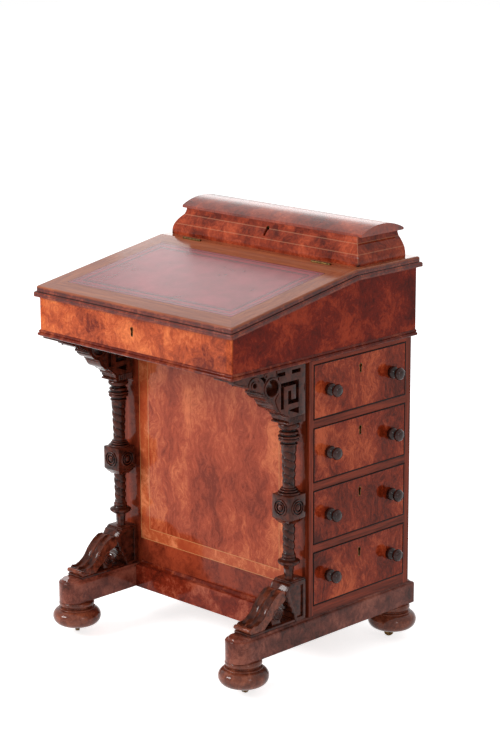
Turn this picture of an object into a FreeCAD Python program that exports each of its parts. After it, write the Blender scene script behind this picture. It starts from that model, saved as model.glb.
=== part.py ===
import FreeCAD, Part
import os
import re

import Sketcher

# Davenport desk, millimetres. +X is the side with the real drawers, -Y is the writer's side,
# +Z is up. The origin is on the floor, under the middle of the whole desk.

SIZES = {
    # Overall
    "seam": 0.3,                    # gap between a moving piece and what it rests on
    "past": 1.0,                    # how far a cutter runs past the face it opens
    "round_share": 0.8,             # largest share of a step that its rounding takes
    # Desk case
    "case_width": 540.0,            # over the side faces
    "case_depth": 516.2,            # front face to back face
    "case_height": 159.3,           # underside to the top of the flat shelf
    "case_corner": 3.0,             # radius of the two front corners
    "lid_corner": 4.0,              # radius of the lid's front corners
    "bead_corner": 5.0,             # and of the base moulding's
    "case_side": 16.0,              # thickness of a side board
    "case_front": 18.0,
    "case_back": 14.0,
    "case_floor": 12.0,
    "edge_projection": 8.9,         # lid and shelf edges beyond the case
    "base_bead_height": 12.0,
    "base_bead_projection": 5.0,
    # Writing lid and shelf
    "lid_run": 345.0,               # level distance from the front edge to the hinge line
    "lid_drop": 59.2,               # fall from the hinge line to the front edge
    "lid_thickness": 20.3,
    "edge_upper": 11.0,             # height of the upper step of the moulded edge
    "edge_inset": 4.5,              # how far the upper step stands back
    "edge_round": 3.5,
    "leather_side_margin": 51.0,
    "leather_front_margin": 49.0,
    "leather_rear_margin": 42.0,
    "leather_thickness": 1.5,
    "lid_pin_rise": 0.5,            # hinge pin's centre above the shelf
    # Gallery box
    "gallery_setback": 41.3,        # hinge line to the front of the box at its neck
    "gallery_back_inset": 20.6,     # case back to the back of the box
    "gallery_side_inset": 33.0,     # case side to the box at its neck
    "gallery_height": 53.1,
    "gallery_wall": 10.0,
    "gallery_ridge_rise": 40.7,     # upper ridge above the shelf
    "gallery_ridge_flare": 4.0,     # how far the upper ridge stands out from the neck
    "gallery_swell_rise": 22.2,
    "gallery_swell_flare": 18.2,
    "gallery_foot_flare": 21.4,
    "gallery_cove_radius": 34.0,
    "gallery_slope_radius": 68.0,
    "gallery_swell_radius": 40.0,
    "gallery_lid_front": 0.4,       # overhang of the gallery's lid at its front
    "gallery_lid_back": 4.0,
    "gallery_lid_side": 12.5,
    "gallery_lid_edge": 5.0,
    "gallery_lid_rise": 20.0,
    "gallery_lid_radius": 133.0,
    "nosing_share": 0.7,            # radius of the lid's nosing, in heights of its edge
    "gallery_partition": 5.0,
    "gallery_partition_gap": 14.0,  # partitions stop short of the lid
    "mitre_margin": 10.0,           # the mitred blanks run on by this much
    # Pedestal
    "pedestal_inset": 4.0,          # case side to pedestal side
    "pedestal_height": 516.2,
    "knee_depth": 211.6,            # case front to pedestal front
    "pedestal_back_inset": 8.1,
    "frame_thickness": 18.0,        # drawer side frame
    "front_panel_thickness": 16.0,
    "back_panel_thickness": 14.0,
    "front_stile": 11.5,
    "back_stile": 14.9,
    "top_rail": 9.4,
    "rail": 14.9,
    "bottom_rail": 19.7,
    "dust_board": 8.0,
    "dummy_thickness": 12.0,
    # Drawers
    "drawer_gap": 0.6,
    "drawer_rear_room": 26.0,       # behind a drawer, to the dummy side
    "drawer_side": 9.0,
    "drawer_bottom": 5.0,
    "drawer_bottom_rise": 8.0,
    "drawer_side_drop": 12.0,       # sides are lower than the opening
    # Knobs
    "knob_spread": 182.0,
    "knob_length": 30.0,
    "knob_base_radius": 11.5,
    "knob_base_thickness": 11.5,
    "knob_neck_radius": 7.0,
    "knob_lip": 1.0,
    "knob_neck_lift": 1.5,
    "knob_radius": 13.0,
    "knob_bun_length": 16.0,
    "knob_face_radius": 12.0,
    "knob_back_radius": 6.5,
    "knob_spigot_radius": 5.0,
    "knob_spigot_length": 11.0,
    "spigot_clearance": 0.1,
    # Locks and escutcheons
    "keyhole_radius": 3.4,
    "keyhole_slot": 3.6,
    "keyhole_drop": 13.0,
    "escutcheon_rim": 1.2,
    "escutcheon_depth": 3.0,
    "drawer_key_drop": 25.0,        # top of the drawer opening to the keyhole
    "frieze_key_drop": 26.0,        # case rim to the keyhole of the lid's lock
    "gallery_key_drop": 12.0,
    "lock_width": 50.0,
    "lock_height": 34.0,
    "lock_thickness": 9.0,
    "lock_drop": 1.0,
    "lock_pin_radius": 1.1,
    # Base
    "runner_setback": 25.2,         # lid's front edge to the runner's nose
    "runner_heel": 10.0,            # case back to the runner's heel
    "runner_width": 59.5,
    "runner_height": 47.4,
    "runner_inset": 28.4,           # case side to the runner's centre line
    "runner_round": 4.0,
    "runner_heel_round": 8.0,
    "cross_rail_step": 17.2,        # front rail stands before the pedestal
    "cross_rail_thickness": 30.0,
    "rear_rail_step": 10.0,
    # Bun feet and castors
    "foot_clearance": 19.0,
    "foot_height": 51.9,
    "foot_inset": 38.1,             # runner's nose to the front foot's centre
    "rear_foot_reach": 21.9,        # case back to the back of the rear feet
    "foot_radius": 49.7,
    "foot_neck_radius": 34.0,
    "foot_ring_height": 10.5,
    "foot_ring_radius": 5.6,
    "foot_groove": 3.0,
    "foot_groove_depth": 1.0,
    "foot_shoulder_radius": 38.0,
    "foot_shoulder_drop": 17.0,
    "foot_bun_radius": 16.88,
    "foot_sole_radius": 34.0,
    "foot_sole_rise": 2.0,
    "foot_sole_flat": 30.0,
    "recess_radius": 22.0,
    "socket_radius": 7.0,
    "socket_plate_radius": 20.5,
    "socket_plate": 2.0,
    "socket_length": 30.0,
    "wheel_radius": 10.0,
    "wheel_width": 9.0,
    "wheel_round": 2.0,
    "castor_trail": 6.0,
    "axle_radius": 2.0,
    "running_clearance": 0.05,
    "fork_cheek": 2.5,
    "fork_boss_radius": 5.0,
    "fork_crown_radius": 14.0,
    "fork_crown": 3.0,
    "fork_height": 26.0,
    "stem_radius": 4.0,
    # Columns, fret brackets and scroll brackets
    "column_square": 46.0,
    "column_gap": 8.0,              # behind the columns, to the pedestal
    "bracket_height": 116.7,
    "bracket_reach": 201.0,
    "bracket_nose": 5.1,
    "bracket_tip_run": 38.0,
    "bracket_tip_drop": 13.0,
    "bracket_step_run": 3.0,
    "bracket_step_drop": 4.6,
    "bracket_lobe_run": 41.5,
    "bracket_lobe_drop": 19.0,
    "bracket_lobe_radius": 60.0,
    "bracket_nick_run": 6.0,
    "bracket_nick_drop": 11.0,
    "bracket_small_run": 18.5,
    "bracket_small_drop": 9.4,
    "bracket_small_radius": 20.0,
    "bracket_foot_depth": 45.0,
    "bracket_foot_height": 17.0,
    "fret_width": 8.2,
    "fret_key_back": 24.0,          # pedestal side of the bracket to the key's last line
    "fret_key_drop": 35.0,          # underside of the case to the key's top line
    "fret_key_cell_width": 20.5,
    "fret_key_cell_height": 18.0,
    "fret_key_tail": 7.0,
    "fret_slot_back": 15.0,
    "fret_slot_pitch": 41.0,
    "fret_slot_drop": 9.5,
    "fret_slot_height": 7.5,
    "fret_slot_length": 22.0,
    "fret_ring_radius": 17.0,
    "fret_ring_back": 91.8,
    "fret_ring_drop": 35.0,
    "fret_eye_radius": 5.0,
    "fret_eye_back": 138.5,
    "fret_eye_drop": 22.0,
    "fret_wedge_back": 20.0,
    "fret_wedge_length": 28.5,
    "fret_wedge_drop": 87.0,
    "fret_wedge_height": 10.0,
    "fret_wedge_slope": 3.0,
    "fret_spandrel_back": 106.0,
    "fret_spandrel_length": 20.0,
    "fret_spandrel_height": 14.0,
    "capital_ring": 7.2,
    "capital_radius": 20.0,
    "capital_waist": 17.0,
    "capital_bell": 16.0,
    "capital_lip": 2.0,
    "bell_share": 1.2,              # radius of the bell's hollow, in heights of the bell
    "shaft_radius": 15.0,           # of the upper shaft below its bell
    "shaft_foot_radius": 12.3,
    "collar_height": 16.0,
    "collar_radius": 21.0,
    "collar_tread": 4.0,            # how much each ring of the collar steps in
    "block_height": 48.5,
    "block_taper": 10.0,
    "lower_shaft_radius": 11.6,
    "lower_shaft_head_radius": 13.0,
    "lower_shaft_shoulder": 2.0,
    "lower_shaft_length": 71.0,
    "column_disc_radius": 20.5,
    "column_disc_height": 15.0,
    "column_neck_length": 27.0,
    "column_neck_radius": 10.5,
    "column_toe_radius": 8.5,
    "post_height": 84.7,
    "post_top_depth": 38.6,
    "post_bevel_drop": 17.0,
    "post_waist_run": 45.0,
    "post_waist_rise": 39.0,
    "post_foot_run": 28.5,
    "scroll_reach": 156.0,
    "scroll_toe_height": 16.5,
    "scroll_shoulder_run": 57.0,
    "scroll_knee_run": 98.0,
    "scroll_knee_rise": 37.0,
    "scroll_arch_radius": 79.0,
    "scroll_instep_run": 132.0,
    "scroll_instep_rise": 10.5,
    "scroll_hollow_radius": 51.0,
    "scroll_base": 5.5,
    "scroll_window_run": 60.0,
    "scroll_window_rise": 57.0,
    "scroll_volute_run": 78.0,
    "scroll_volute_rise": 27.0,
    "volute_radius": 14.0,
    "volute_run_share": 0.6,
    "volute_rise_share": 0.8,
    "volute_bend_share": 1.1,
    # Hinges
    "hinge_length": 50.0,
    "hinge_spread": 360.0,
    "hinge_leaf": 1.2,
    "hinge_leaf_height": 15.0,
    "hinge_knuckle_radius": 2.6,
    "hinge_pin_radius": 1.2,
    "hinge_relief": 0.4,
    # Inside of the desk case
    "pigeonhole_depth": 118.0,
    "pigeonhole_board": 6.0,
    "small_drawer_height": 44.0,
    "small_drawer_wall": 6.0,
    "small_drawer_front": 10.0,
    "small_knob_radius": 6.0,
    "small_knob_length": 11.0,
}

DRAWERS = 4

# Places worked out from the sizes above.
PLACES = {
    "half_depth": "(edge_projection + case_depth + rear_foot_reach) / 2",
    "front_y": "-half_depth",
    "case_front_y": "front_y + edge_projection",
    "case_back_y": "case_front_y + case_depth",
    "case_x": "case_width / 2",
    "case_inner_x": "case_x - case_side",
    "edge_x": "case_x + edge_projection",
    "hinge_y": "front_y + lid_run",
    "pedestal_x": "case_x - pedestal_inset",
    "pedestal_inner_x": "pedestal_x - frame_thickness",
    "pedestal_front_y": "case_front_y + knee_depth",
    "pedestal_back_y": "case_back_y - pedestal_back_inset",
    "opening_front_y": "pedestal_front_y + front_stile",
    "opening_back_y": "pedestal_back_y - back_stile",
    "well_front_y": "pedestal_front_y + front_panel_thickness",
    "well_back_y": "pedestal_back_y - back_panel_thickness",
    "runner_x": "case_x - runner_inset",
    "runner_front_y": "front_y + runner_setback",
    "runner_back_y": "case_back_y + runner_heel",
    "runner_bottom_z": "foot_clearance + foot_height",
    "runner_top_z": "runner_bottom_z + runner_height",
    "case_bottom_z": "runner_top_z + pedestal_height",
    "shelf_top_z": "case_bottom_z + case_height",
    "shelf_bottom_z": "shelf_top_z - lid_thickness",
    "lid_front_z": "shelf_top_z - lid_drop",
    "drawer_height": f"(pedestal_height - top_rail - {DRAWERS - 1} * rail - bottom_rail)"
                     f" / {DRAWERS}",
    "drawer_pitch": "drawer_height + rail",
    "first_opening_top_z": "case_bottom_z - top_rail",
    "front_foot_y": "runner_front_y + foot_inset",
    "back_foot_y": "half_depth - foot_radius",
    "column_y": "pedestal_front_y - column_gap - column_square / 2",
    "column_back_y": "column_y + column_square / 2",
    "column_inner_x": "runner_x - column_square / 2",
    "column_outer_x": "runner_x + column_square / 2",
    "bracket_bottom_z": "case_bottom_z - bracket_height",
    "post_top_z": "runner_top_z + post_height",
    "column_block_bottom_z": "post_top_z + column_neck_length + column_disc_height"
                             " + lower_shaft_length + block_taper",
    "column_block_top_z": "column_block_bottom_z + block_height",
    "gallery_neck_y": "hinge_y + gallery_setback",
    "gallery_back_y": "case_back_y - gallery_back_inset",
    "gallery_neck_x": "case_x - gallery_side_inset",
    "gallery_inner_x": "gallery_neck_x - gallery_wall",
    "gallery_top_z": "shelf_top_z + gallery_height",
    "gallery_key_z": "gallery_top_z - gallery_key_drop",
    "frieze_key_z": "lid_front_z + edge_projection * lid_drop / lid_run - lid_thickness"
                    " - seam - frieze_key_drop",
    "gallery_pin_y": "gallery_back_y + hinge_knuckle_radius + hinge_relief",
    "gallery_pin_z": "gallery_top_z - hinge_knuckle_radius - hinge_relief",
    "lid_pin_z": "shelf_top_z + lid_pin_rise",
    "socket_bottom_z": "fork_height + fork_crown + seam",
    "recess_top_z": "socket_bottom_z + socket_plate",
    "pigeonhole_y": "case_back_y - case_back - pigeonhole_depth",
    "case_floor_z": "case_bottom_z + case_floor",
    "small_opening_top_z": "case_floor_z + small_drawer_height",
}

ABOVE = 1.0e-3
X_AXIS = FreeCAD.Vector(1, 0, 0)
Y_AXIS = FreeCAD.Vector(0, 1, 0)
Z_AXIS = FreeCAD.Vector(0, 0, 1)
ALONG = {
    "x": FreeCAD.Rotation(Y_AXIS, 90),
    "y": FreeCAD.Rotation(X_AXIS, -90),
    "z": FreeCAD.Rotation(),
}

doc = FreeCAD.newDocument("DavenportDesk")
parts = []


def full(expression):
    """Spell out which sheet each named value of an expression is in."""
    def sheet_of(match):
        word = match.group(0)
        if word in SIZES:
            return "Desk." + word
        if word in PLACES:
            return "Layout." + word
        return word
    return re.sub(r"[a-z][a-z0-9_]*", sheet_of, str(expression))


def make_sheets():
    """Put the driving sizes in one sheet and the places that follow from them in another."""
    sizes = doc.addObject("Spreadsheet::Sheet", "Desk")
    for row, (alias, value) in enumerate(SIZES.items(), start=1):
        sizes.set(f"A{row}", alias.replace("_", " "))
        sizes.set(f"B{row}", str(value))
        sizes.setAlias(f"B{row}", alias)
    doc.recompute()
    layout = doc.addObject("Spreadsheet::Sheet", "Layout")
    for row, alias in enumerate(PLACES, start=1):
        layout.set(f"A{row}", alias.replace("_", " "))
        layout.setAlias(f"B{row}", alias)
    for row, formula in enumerate(PLACES.values(), start=1):
        layout.set(f"B{row}", "=" + full(formula).replace("Layout.", ""))
    doc.recompute()
    return sizes


sheet = make_sheets()


def number(expression):
    """The present value of an expression."""
    return float(sheet.evalExpression(full(expression)))


def bind(item, **properties):
    """Tie properties of an object to the sheets; __ stands for a dot."""
    for name, expression in properties.items():
        item.setExpression(name.replace("__", "."), full(expression))


def put(item, x="0", y="0", z="0"):
    """Tie the place of an object to the sheets."""
    bind(item, Placement__Base__x=x, Placement__Base__y=y, Placement__Base__z=z)
    return item


def slab(name, x, y, z):
    """A rectangular board between pairs of places."""
    item = doc.addObject("Part::Box", name)
    bind(item, Length=f"({x[1]}) - ({x[0]})", Width=f"({y[1]}) - ({y[0]})")
    bind(item, Height=f"({z[1]}) - ({z[0]})")
    return put(item, x[0], y[0], z[0])


def rod(name, axis, radius, start, end, x="0", y="0", z="0"):
    """A round bar along an axis, from start to end on that axis."""
    item = doc.addObject("Part::Cylinder", name)
    item.Placement = FreeCAD.Placement(FreeCAD.Vector(), ALONG[axis])
    bind(item, Radius=radius, Height=f"({end}) - ({start})")
    place = {"x": x, "y": y, "z": z}
    place[axis] = start
    return put(item, **place)


def cut(name, base, *tools):
    item = doc.addObject("Part::Cut", name)
    item.Base = base
    item.Tool = tools[0] if len(tools) == 1 else fuse(name + "_tools", *tools)
    return item


def fuse(name, *shapes):
    item = doc.addObject("Part::MultiFuse", name)
    item.Shapes = list(shapes)
    return item


def group(name, *solids):
    """Several solids, kept apart, as one object."""
    item = doc.addObject("Part::Compound", name)
    item.Links = list(solids)
    return item


def mirror(name, source):
    """The same piece on the other side of the desk."""
    item = doc.addObject("Part::Mirroring", name)
    item.Source = source
    item.Base = FreeCAD.Vector()
    item.Normal = X_AXIS
    return item


def part(label, item):
    """Take an object as a sub-part of its own."""
    item.Label = label
    parts.append(item)
    return item


def origin_plane(body, role):
    """The plane of a body's own origin that has this role."""
    for feature in body.Origin.OriginFeatures:
        if feature.Role == role:
            return feature
    raise LookupError(role)


def segment(start, end, bend):
    """A line, or an arc that turns left (bend above 0) or right (below 0) with that radius."""
    a = FreeCAD.Vector(start[0], start[1], 0)
    b = FreeCAD.Vector(end[0], end[1], 0)
    if bend == 0:
        return Part.LineSegment(a, b)
    radius = abs(bend)
    chord = b - a
    middle = (a + b) * 0.5
    reach = max(radius ** 2 - (chord.Length / 2) ** 2, 0) ** 0.5
    side = FreeCAD.Vector(-chord.y, chord.x, 0).normalize() * (1 if bend > 0 else -1)
    crown = middle + side * (reach - radius)
    return Part.Arc(a, crown, b)


def outline(body, name, plane, path, offset="0"):
    """A closed sketch through the points of a path, each (across, up) or (across, up, bend)."""
    sketch = body.newObject("Sketcher::SketchObject", name)
    sketch.AttachmentSupport = [(origin_plane(body, plane), "")]
    sketch.MapMode = "FlatFace"
    bind(sketch, AttachmentOffset__Base__z=offset)
    corners = [(number(step[0]), number(step[1])) for step in path]
    ends = []
    for index, step in enumerate(path):
        bend = number(step[2]) if len(step) == 3 else 0
        start = corners[index - 1]
        geometry = sketch.addGeometry(segment(start, corners[index], bend), False)
        ends.append((geometry, 1, 2) if bend >= 0 else (geometry, 2, 1))
    for index, step in enumerate(path):
        geometry, _, last = ends[index]
        following, first, _ = ends[(index + 1) % len(path)]
        sketch.addConstraint(Sketcher.Constraint("Coincident", geometry, last, following, first))
        for kind, place, value in (("DistanceX", step[0], corners[index][0]),
                                   ("DistanceY", step[1], corners[index][1])):
            row = sketch.addConstraint(Sketcher.Constraint(kind, -1, 1, geometry, last, value))
            sketch.setExpression(f"Constraints[{row}]", full(place))
        if len(step) == 3:
            row = sketch.addConstraint(Sketcher.Constraint("Radius", geometry, abs(number(step[2]))))
            sketch.setExpression(f"Constraints[{row}]", full(f"abs({step[2]})"))
    return sketch


def prism(name, plane, path, start, end):
    """A profile drawn on a plane and carried along that plane's normal from start to end."""
    body = doc.addObject("PartDesign::Body", name)
    offset = f"-({end})" if plane == "XZ_Plane" else start
    sketch = outline(body, name + "_profile", plane, path, offset)
    pad = body.newObject("PartDesign::Pad", name + "_pad")
    pad.Profile = sketch
    bind(pad, Length=f"({end}) - ({start})")
    sketch.Visibility = False
    return body


def turned(name, path, plane="XZ_Plane", axis="V_Axis"):
    """A piece turned on the lathe from half of its section."""
    body = doc.addObject("PartDesign::Body", name)
    sketch = outline(body, name + "_section", plane, path)
    turning = body.newObject("PartDesign::Revolution", name + "_turning")
    turning.Profile = sketch
    turning.ReferenceAxis = (sketch, [axis])
    turning.Angle = 360
    return body


def round_edges(body, radius, wanted):
    """Round the edges of a body whose middle point and edge pass a test."""
    doc.recompute()
    before = body.Tip
    names = []
    for index, edge in enumerate(body.Shape.Edges, start=1):
        middle = edge.valueAt((edge.FirstParameter + edge.LastParameter) / 2)
        if wanted(middle, edge):
            names.append(f"Edge{index}")
    fillet = body.newObject("PartDesign::Fillet", body.Name + "_round")
    fillet.Base = (before, names)
    bind(fillet, Radius=radius)
    return body


def upright(edge):
    """Whether an edge is a vertical line."""
    ends = [vertex.Point for vertex in edge.Vertexes]
    return len(ends) == 2 and (ends[0] - ends[1]).cross(Z_AXIS).Length < ABOVE


def near(value, expression):
    """Whether a coordinate is the one that an expression gives."""
    return abs(value - number(expression)) < ABOVE


def keyhole(name, axis, start, end, across, z, grow="0"):
    """A round head and a slot below it, along x or y, wider by grow all round."""
    radius = f"keyhole_radius + {grow}"
    half = f"(keyhole_slot / 2 + {grow})"
    place = {"y" if axis == "x" else "x": across, "z": z}
    head = rod(name + "_head", axis, radius, start, end, **place)
    sides = (f"({across}) - {half}", f"({across}) + {half}")
    span = (start, end)
    low = f"({z}) - keyhole_drop - {grow}"
    x, y = (span, sides) if axis == "x" else (sides, span)
    slot = slab(name + "_slot", x, y, (low, z))
    return fuse(name, head, slot)


def lid_top(y):
    """Height of the writing slope's surface above a place along the depth."""
    return f"(lid_front_z + (({y}) - front_y) * lid_drop / lid_run)"


# ---------------------------------------------------------------- base


def make_runner(name):
    """A sleigh runner with a half-round nose, softly rounded along its top."""
    inner = "runner_x - runner_width / 2"
    outer = "runner_x + runner_width / 2"
    nose = "runner_front_y + runner_width / 2"
    path = [
        (inner, nose),
        ("runner_x", "runner_front_y", "runner_width / 2"),
        (outer, nose, "runner_width / 2"),
        (outer, "runner_back_y"),
        (inner, "runner_back_y"),
    ]
    body = prism(name, "XY_Plane", path, "runner_bottom_z", "runner_top_z")

    def heel(point, edge):
        return upright(edge) and near(point.y, "runner_back_y")

    def rim(point, edge):
        return near(point.z, "runner_top_z")

    round_edges(body, "runner_heel_round", heel)
    return round_edges(body, "runner_round", rim)


def make_base():
    right = make_runner("runner_right")
    part("base_runners", group("runner_pair", right, mirror("runner_left", right)))
    inner = "(runner_x - runner_width / 2)"
    across = (f"-{inner}", inner)
    height = ("runner_bottom_z", "runner_top_z")
    face = "pedestal_front_y - cross_rail_step"
    front = slab("front_rail", across, (face, f"{face} + cross_rail_thickness"), height)
    face = "pedestal_back_y + rear_rail_step"
    rear = slab("rear_rail", across, (f"{face} - cross_rail_thickness", face), height)
    part("base_cross_rails", group("cross_rail_pair", front, rear))


FEET = {
    # side, row and the way the castor trails, in degrees about the vertical
    "front_left": ("-runner_x", "front_foot_y", 135),
    "front_right": ("runner_x", "front_foot_y", 100),
    "back_left": ("-runner_x", "back_foot_y", 160),
    "back_right": ("runner_x", "back_foot_y", 225),
}


def make_foot(name, x, y):
    """A bun foot: ring, groove and flattened bun, hollowed below for the castor."""
    ring_z = "runner_bottom_z - foot_ring_height"
    groove_z = f"{ring_z} - foot_groove"
    shoulder_z = "runner_bottom_z - foot_shoulder_drop"
    cap_z = "recess_top_z + socket_length + socket_plate"
    path = [
        ("0", "runner_bottom_z"),
        ("0", cap_z),
        ("socket_radius", cap_z),
        ("socket_radius", "recess_top_z"),
        ("recess_radius", "recess_top_z"),
        ("recess_radius", "foot_clearance"),
        ("foot_sole_flat", "foot_clearance"),
        ("foot_sole_radius", "foot_clearance + foot_sole_rise"),
        ("foot_shoulder_radius", shoulder_z, "foot_bun_radius"),
        ("foot_neck_radius - foot_groove_depth", groove_z),
        ("foot_neck_radius - foot_groove_depth", ring_z),
        ("foot_neck_radius", ring_z),
        ("foot_neck_radius", "runner_bottom_z", "foot_ring_radius"),
    ]
    return put(turned(name, path), x, y)


def make_socket(name, x, y):
    """The brass socket that carries the castor's stem."""
    bore = "stem_radius + running_clearance"
    tube = "socket_radius - spigot_clearance"
    top = "recess_top_z + socket_length"
    path = [
        (bore, "socket_bottom_z"),
        ("socket_plate_radius", "socket_bottom_z"),
        ("socket_plate_radius", "recess_top_z"),
        (tube, "recess_top_z"),
        (tube, top),
        (bore, top),
    ]
    return put(turned(name, path), x, y)


def make_fork(name, x, y, angle):
    """A castor's stem, crown, two cheeks and axle."""
    inner = "(wheel_width / 2 + seam)"
    outer = f"({inner} + fork_cheek)"
    top = "recess_top_z + socket_length - seam"
    pieces = [
        rod(name + "_stem", "z", "stem_radius", "fork_height", top),
        rod(name + "_crown", "z", "fork_crown_radius", "fork_height", "fork_height + fork_crown"),
        rod(name + "_axle", "y", "axle_radius", f"-{outer}", outer,
            x="castor_trail", z="wheel_radius"),
    ]
    for side, low, high in (("near", f"-{outer}", f"-{inner}"), ("far", inner, outer)):
        pieces.append(rod(f"{name}_{side}_boss", "y", "fork_boss_radius", low, high,
                          x="castor_trail", z="wheel_radius"))
        span = ("castor_trail - fork_boss_radius", "castor_trail + fork_boss_radius")
        pieces.append(slab(f"{name}_{side}_cheek", span, (low, high),
                           ("wheel_radius", "fork_height + fork_crown / 2")))
    fork = fuse(name, *pieces)
    fork.Placement = FreeCAD.Placement(FreeCAD.Vector(), FreeCAD.Rotation(Z_AXIS, angle))
    return put(fork, x, y)


def make_wheel(name, x, y, angle):
    """A small brass wheel with eased rims."""
    bore = "axle_radius + running_clearance"
    half = "wheel_width / 2"
    path = [
        (bore, f"-{half}"),
        ("wheel_radius - wheel_round", f"-{half}"),
        ("wheel_radius", f"-{half} + wheel_round", "wheel_round"),
        ("wheel_radius", f"{half} - wheel_round"),
        ("wheel_radius - wheel_round", half, "wheel_round"),
        (bore, half),
    ]
    wheel = turned(name, path, "XY_Plane", "V_Axis")
    wheel.Placement = FreeCAD.Placement(FreeCAD.Vector(), FreeCAD.Rotation(Z_AXIS, angle))
    reach_x = f"{x} + castor_trail * cos({angle} deg)"
    reach_y = f"{y} + castor_trail * sin({angle} deg)"
    return put(wheel, reach_x, reach_y, "wheel_radius")


def make_feet():
    feet = [make_foot("foot_" + name, x, y) for name, (x, y, _) in FEET.items()]
    part("bun_feet", group("feet", *feet))
    sockets = [make_socket("socket_" + name, x, y) for name, (x, y, _) in FEET.items()]
    part("castor_sockets", group("sockets", *sockets))
    for name, (x, y, angle) in FEET.items():
        part("castor_fork_" + name, make_fork("fork_" + name, x, y, angle))
        part("castor_wheel_" + name, make_wheel("wheel_" + name, x, y, angle))


# ---------------------------------------------------------------- pedestal and drawers


def opening_top(index):
    """Top of a drawer opening, counted from the uppermost."""
    return f"(first_opening_top_z - {index} * drawer_pitch)"


def opening_bottom(index):
    return f"({opening_top(index)} - drawer_height)"


def make_pedestal():
    height = ("runner_top_z", "case_bottom_z")
    across = ("-pedestal_inner_x", "pedestal_inner_x")
    depth = ("pedestal_front_y", "pedestal_back_y")
    part("pedestal_front_panel",
         slab("front_panel", across, ("pedestal_front_y", "well_front_y"), height))
    part("pedestal_back_panel",
         slab("back_panel", across, ("well_back_y", "pedestal_back_y"), height))
    frame = slab("frame_blank", ("pedestal_inner_x", "pedestal_x"), depth, height)
    dummy = slab("dummy_blank", ("-pedestal_x", "-pedestal_inner_x"), depth, height)
    openings = []
    pockets = []
    gap = ("opening_front_y", "opening_back_y")
    for index in range(DRAWERS):
        tall = (opening_bottom(index), opening_top(index))
        openings.append(slab(f"opening_{index + 1}",
                             ("pedestal_inner_x - past", "pedestal_x + past"), gap, tall))
        pockets.append(slab(f"pocket_{index + 1}",
                            ("-pedestal_x - past", "-pedestal_x + dummy_thickness"), gap, tall))
    part("drawer_side_frame", cut("frame", frame, *openings))
    part("dummy_side_frame", cut("dummy_frame", dummy, *pockets))
    boards = []
    for index in range(DRAWERS):
        top = opening_bottom(index)
        boards.append(slab(f"dust_board_{index + 1}", across, ("well_front_y", "well_back_y"),
                           (f"{top} - dust_board", top)))
    part("dust_boards", group("boards", *boards))


def drawer_face(name, index, x):
    """The board of a drawer front, or of a dummy of one, before it is bored."""
    y = ("opening_front_y + drawer_gap", "opening_back_y - drawer_gap")
    z = (f"{opening_bottom(index)} + drawer_gap", f"{opening_top(index)} - drawer_gap")
    return slab(name, x, y, z)


MIDDLE_Y = "((opening_front_y + opening_back_y) / 2)"


def knob_places(index):
    """Depth and height of both knobs of a drawer."""
    height = f"({opening_top(index)} - drawer_height / 2)"
    return [(f"{MIDDLE_Y} - knob_spread / 2", height), (f"{MIDDLE_Y} + knob_spread / 2", height)]


def make_knob(name, y, z):
    """A turned knob: base ring, neck and bun, with the spigot that is glued into the front."""
    path = [
        ("-knob_spigot_length", "0"),
        ("knob_length", "0"),
        ("knob_length - knob_bun_length / 2", "knob_radius", "knob_face_radius"),
        ("knob_length - knob_bun_length", "knob_neck_radius + knob_lip", "knob_back_radius"),
        ("knob_base_thickness + knob_neck_lift", "knob_neck_radius", "-knob_length"),
        ("knob_base_thickness", "knob_base_radius - knob_lip"),
        ("0", "knob_base_radius", "knob_base_thickness"),
        ("0", "knob_spigot_radius"),
        ("-knob_spigot_length", "knob_spigot_radius"),
    ]
    return put(turned(name, path, "XY_Plane", "H_Axis"), "pedestal_x", y, z)


def make_lock(name, index):
    """A brass escutcheon in the front and the lock behind it, its bolt drawn back."""
    key_z = f"({opening_top(index)} - drawer_key_drop)"
    outside = "pedestal_x"
    rim = keyhole(name + "_rim", "x", f"{outside} - escutcheon_depth", outside,
                  MIDDLE_Y, key_z, "escutcheon_rim")
    bore = keyhole(name + "_bore", "x", f"{outside} - escutcheon_depth - past", f"{outside} + past",
                   MIDDLE_Y, key_z)
    top = f"({opening_top(index)} - drawer_gap - lock_drop)"
    back = "pedestal_inner_x"
    case = slab(name + "_case", (f"{back} - lock_thickness", back),
                (f"{MIDDLE_Y} - lock_width / 2", f"{MIDDLE_Y} + lock_width / 2"),
                (f"{top} - lock_height", top))
    pin = rod(name + "_pin", "x", "lock_pin_radius", back,
              "pedestal_x - escutcheon_depth", y=MIDDLE_Y, z=key_z)
    return group(name, cut(name + "_escutcheon", rim, bore), fuse(name + "_body", case, pin))


def make_drawer(index):
    number_name = f"drawer_{index + 1}"
    key_z = f"({opening_top(index)} - drawer_key_drop)"
    face = drawer_face(number_name + "_board", index, ("pedestal_inner_x", "pedestal_x"))
    holes = [
        keyhole(number_name + "_key", "x", "pedestal_inner_x - past", "pedestal_x + past",
                MIDDLE_Y, key_z),
        keyhole(number_name + "_seat", "x", "pedestal_x - escutcheon_depth", "pedestal_x + past",
                MIDDLE_Y, key_z, "escutcheon_rim"),
    ]
    knobs = []
    for side, (y, z) in zip(("left", "right"), knob_places(index)):
        holes.append(rod(f"{number_name}_{side}_hole", "x",
                         "knob_spigot_radius + spigot_clearance",
                         "pedestal_x - knob_spigot_length - past", "pedestal_x + past", y=y, z=z))
        knobs.append(make_knob(f"{number_name}_{side}_knob", y, z))
    part(number_name + "_front", cut(number_name + "_face", face, *holes))
    part(number_name + "_box", make_drawer_box(number_name, index))
    part(number_name + "_knobs", group(number_name + "_pair", *knobs))
    part(number_name + "_lock", make_lock(number_name + "_lock_work", index))
    return knobs


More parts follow.
